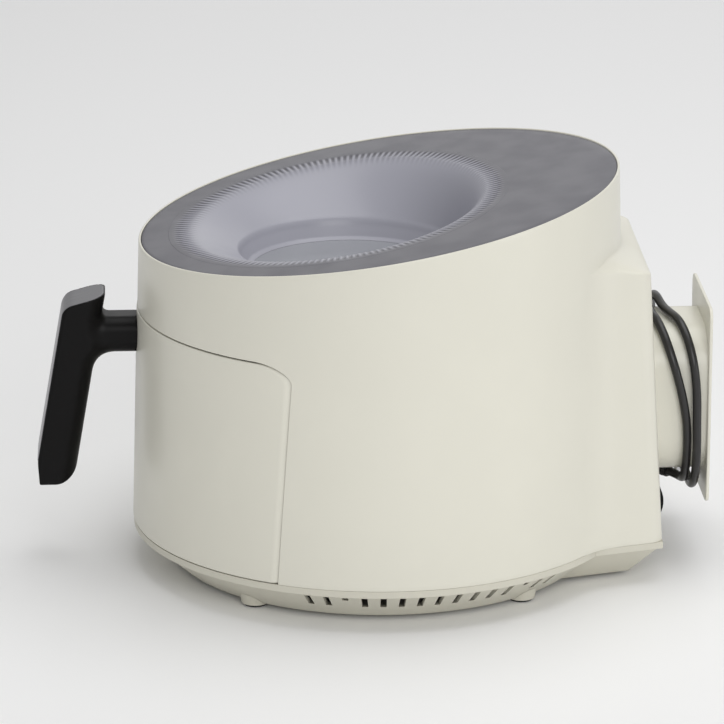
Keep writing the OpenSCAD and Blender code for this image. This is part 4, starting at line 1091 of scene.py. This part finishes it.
def make_boot(look):
    """The ribbed, tapered strain relief."""
    count = 40
    neck_r = 3.6
    profile = [(-15, neck_r), (-6, neck_r), (-6, BOOT_R), (5.2, BOOT_R)]
    profile += [(6.0, BOOT_R - 0.3), (6.5, BOOT_R - 1.0), (6.6, neck_r)]
    for i in range(5):
        start, r = 8 + i * 3.2, BOOT_R - 0.25 * i
        rib = [(0, neck_r), (0.1, r - 0.3), (0.4, r), (1.7, r), (2.0, r - 0.3), (2.1, neck_r)]
        profile += [(start + along, reach) for along, reach in rib]
    profile += [(BOOT_LEN - 0.4, 3.5), (BOOT_LEN, 3.2), (BOOT_LEN, CORD_R), (-15, CORD_R)]
    t = np.linspace(0, 2 * math.pi, count, endpoint=False)
    rows = []
    for s, r in profile:
        across, up = r * np.cos(t), r * np.sin(t)
        x = BOOT_X + s * math.cos(BOOT_TURN) - across * math.sin(BOOT_TURN)
        y = BOOT_Y + s * math.sin(BOOT_TURN) + across * math.cos(BOOT_TURN)
        rows.append(np.stack([x, y, BOOT_H + up], -1))
    boot = grid_object("cord_boot", np.array(rows), wrap_rows=True, wrap_cols=True)
    return finished(boot, look["cord_rubber"], "housing", "cord_rubber", "strain_relief")


# ---------------------------------------------------------------- carried-over CAD nodes


NODE_SLOTS = {
    "body_plastic": ["rear_cover", "cord_spool"],
    "base": ["base_pan", "feet"],
    "handle_plastic": ["exhaust_grille"],
    "glass": ["window_pane", "inner_pane"],
    "rubber": ["foot_pads", "window_gasket", "tray_bumpers"],
    "cord_rubber": ["plug_body"],
    "screw_steel": [
        "rear_cover_screws", "spool_screws", "base_screws", "clamp_screws", "plug_pins", "impeller_nut",
        "handle_screws", "bracket_rivets", "motor_shaft", "motor_bearings",
    ],
    "sheet_steel": [
        "pane_clamp_ring", "chassis", "drawer_rails", "cavity_liner", "heater_clips", "blower_scroll",
        "motor_bracket", "motor_can", "handle_bracket", "hot_impeller", "tray_tab",
    ],
    "reflector": ["heat_reflector"],
    "heater_tube": ["heater"],
    "lamination": ["motor_stator", "motor_rotor"],
    "circuit_board": ["touch_board", "power_board"],
    "component": [
        "cooling_fan", "thermal_fuse", "power_components", "terminal_block", "reed_switch", "door_magnet",
    ],
    "ceramic": ["temperature_sensor"],
    "nonstick": ["pot", "crisper_tray", "drawer_backplate"],
}


def dress_nodes(look):
    for kind, names in NODE_SLOTS.items():
        for name in names:
            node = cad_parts[name]
            node.data.materials.clear()
            node.data.materials.append(look[kind])


# ---------------------------------------------------------------- floor and light


def make_stage():
    size = 7.0
    points = np.array([[(-size, -size, 0), (size, -size, 0)], [(-size, size, 0), (size, size, 0)]]) / MM
    floor = grid_object("floor", points)
    look = Look("pale_floor", (0.92, 0.92, 0.92), 0.6)
    look.rougher(look.ramp(look.noise(3, 3), 0.3, 0.7, -0.5, 0.5), 0.05)
    floor.data.materials.append(look.done())

    world = bpy.data.worlds.new("studio")
    bpy.context.scene.world = world
    world.use_nodes = True
    sky = world.node_tree.nodes["Background"]
    sky.inputs["Color"].default_value = (1, 1, 1, 1)
    sky.inputs["Strength"].default_value = 0.43

    def area(name, where, aim, power, width, height):
        light = bpy.data.lights.new(name, "AREA")
        light.energy = power
        light.shape = "RECTANGLE"
        light.size, light.size_y = width, height
        lamp = bpy.data.objects.new(name, light)
        bpy.context.scene.collection.objects.link(lamp)
        lamp.location = where
        lamp.rotation_euler = (Vector(aim) - Vector(where)).to_track_quat("-Z", "Y").to_euler()

    area("key", (2.45, 0.6, 1.3), (0, 0, 0.12), 23, 1.5, 1.5)
    area("top", (-0.2, 0.35, 2.2), (0, 0, 0.1), 22, 1.9, 1.9)
    area("sheen", (-2.3, 0.7, 1.0), (0, 0, 0.2), 5, 2.4, 1.2)
    area("rear", (1.3, 2.2, 0.2), (0, 0.15, 0.05), 4, 1.0, 0.3)
    bpy.context.scene.view_settings.view_transform = "Standard"


# ---------------------------------------------------------------- assembly

make_camera()
looks = make_materials()
make_cord(looks)
make_body(looks)
make_drawer_front(looks)
make_top_plate(looks)
make_window(looks)
make_handle(looks)
make_inlay(looks)
make_flange(looks)
make_boot(looks)
dress_nodes(looks)
make_stage()
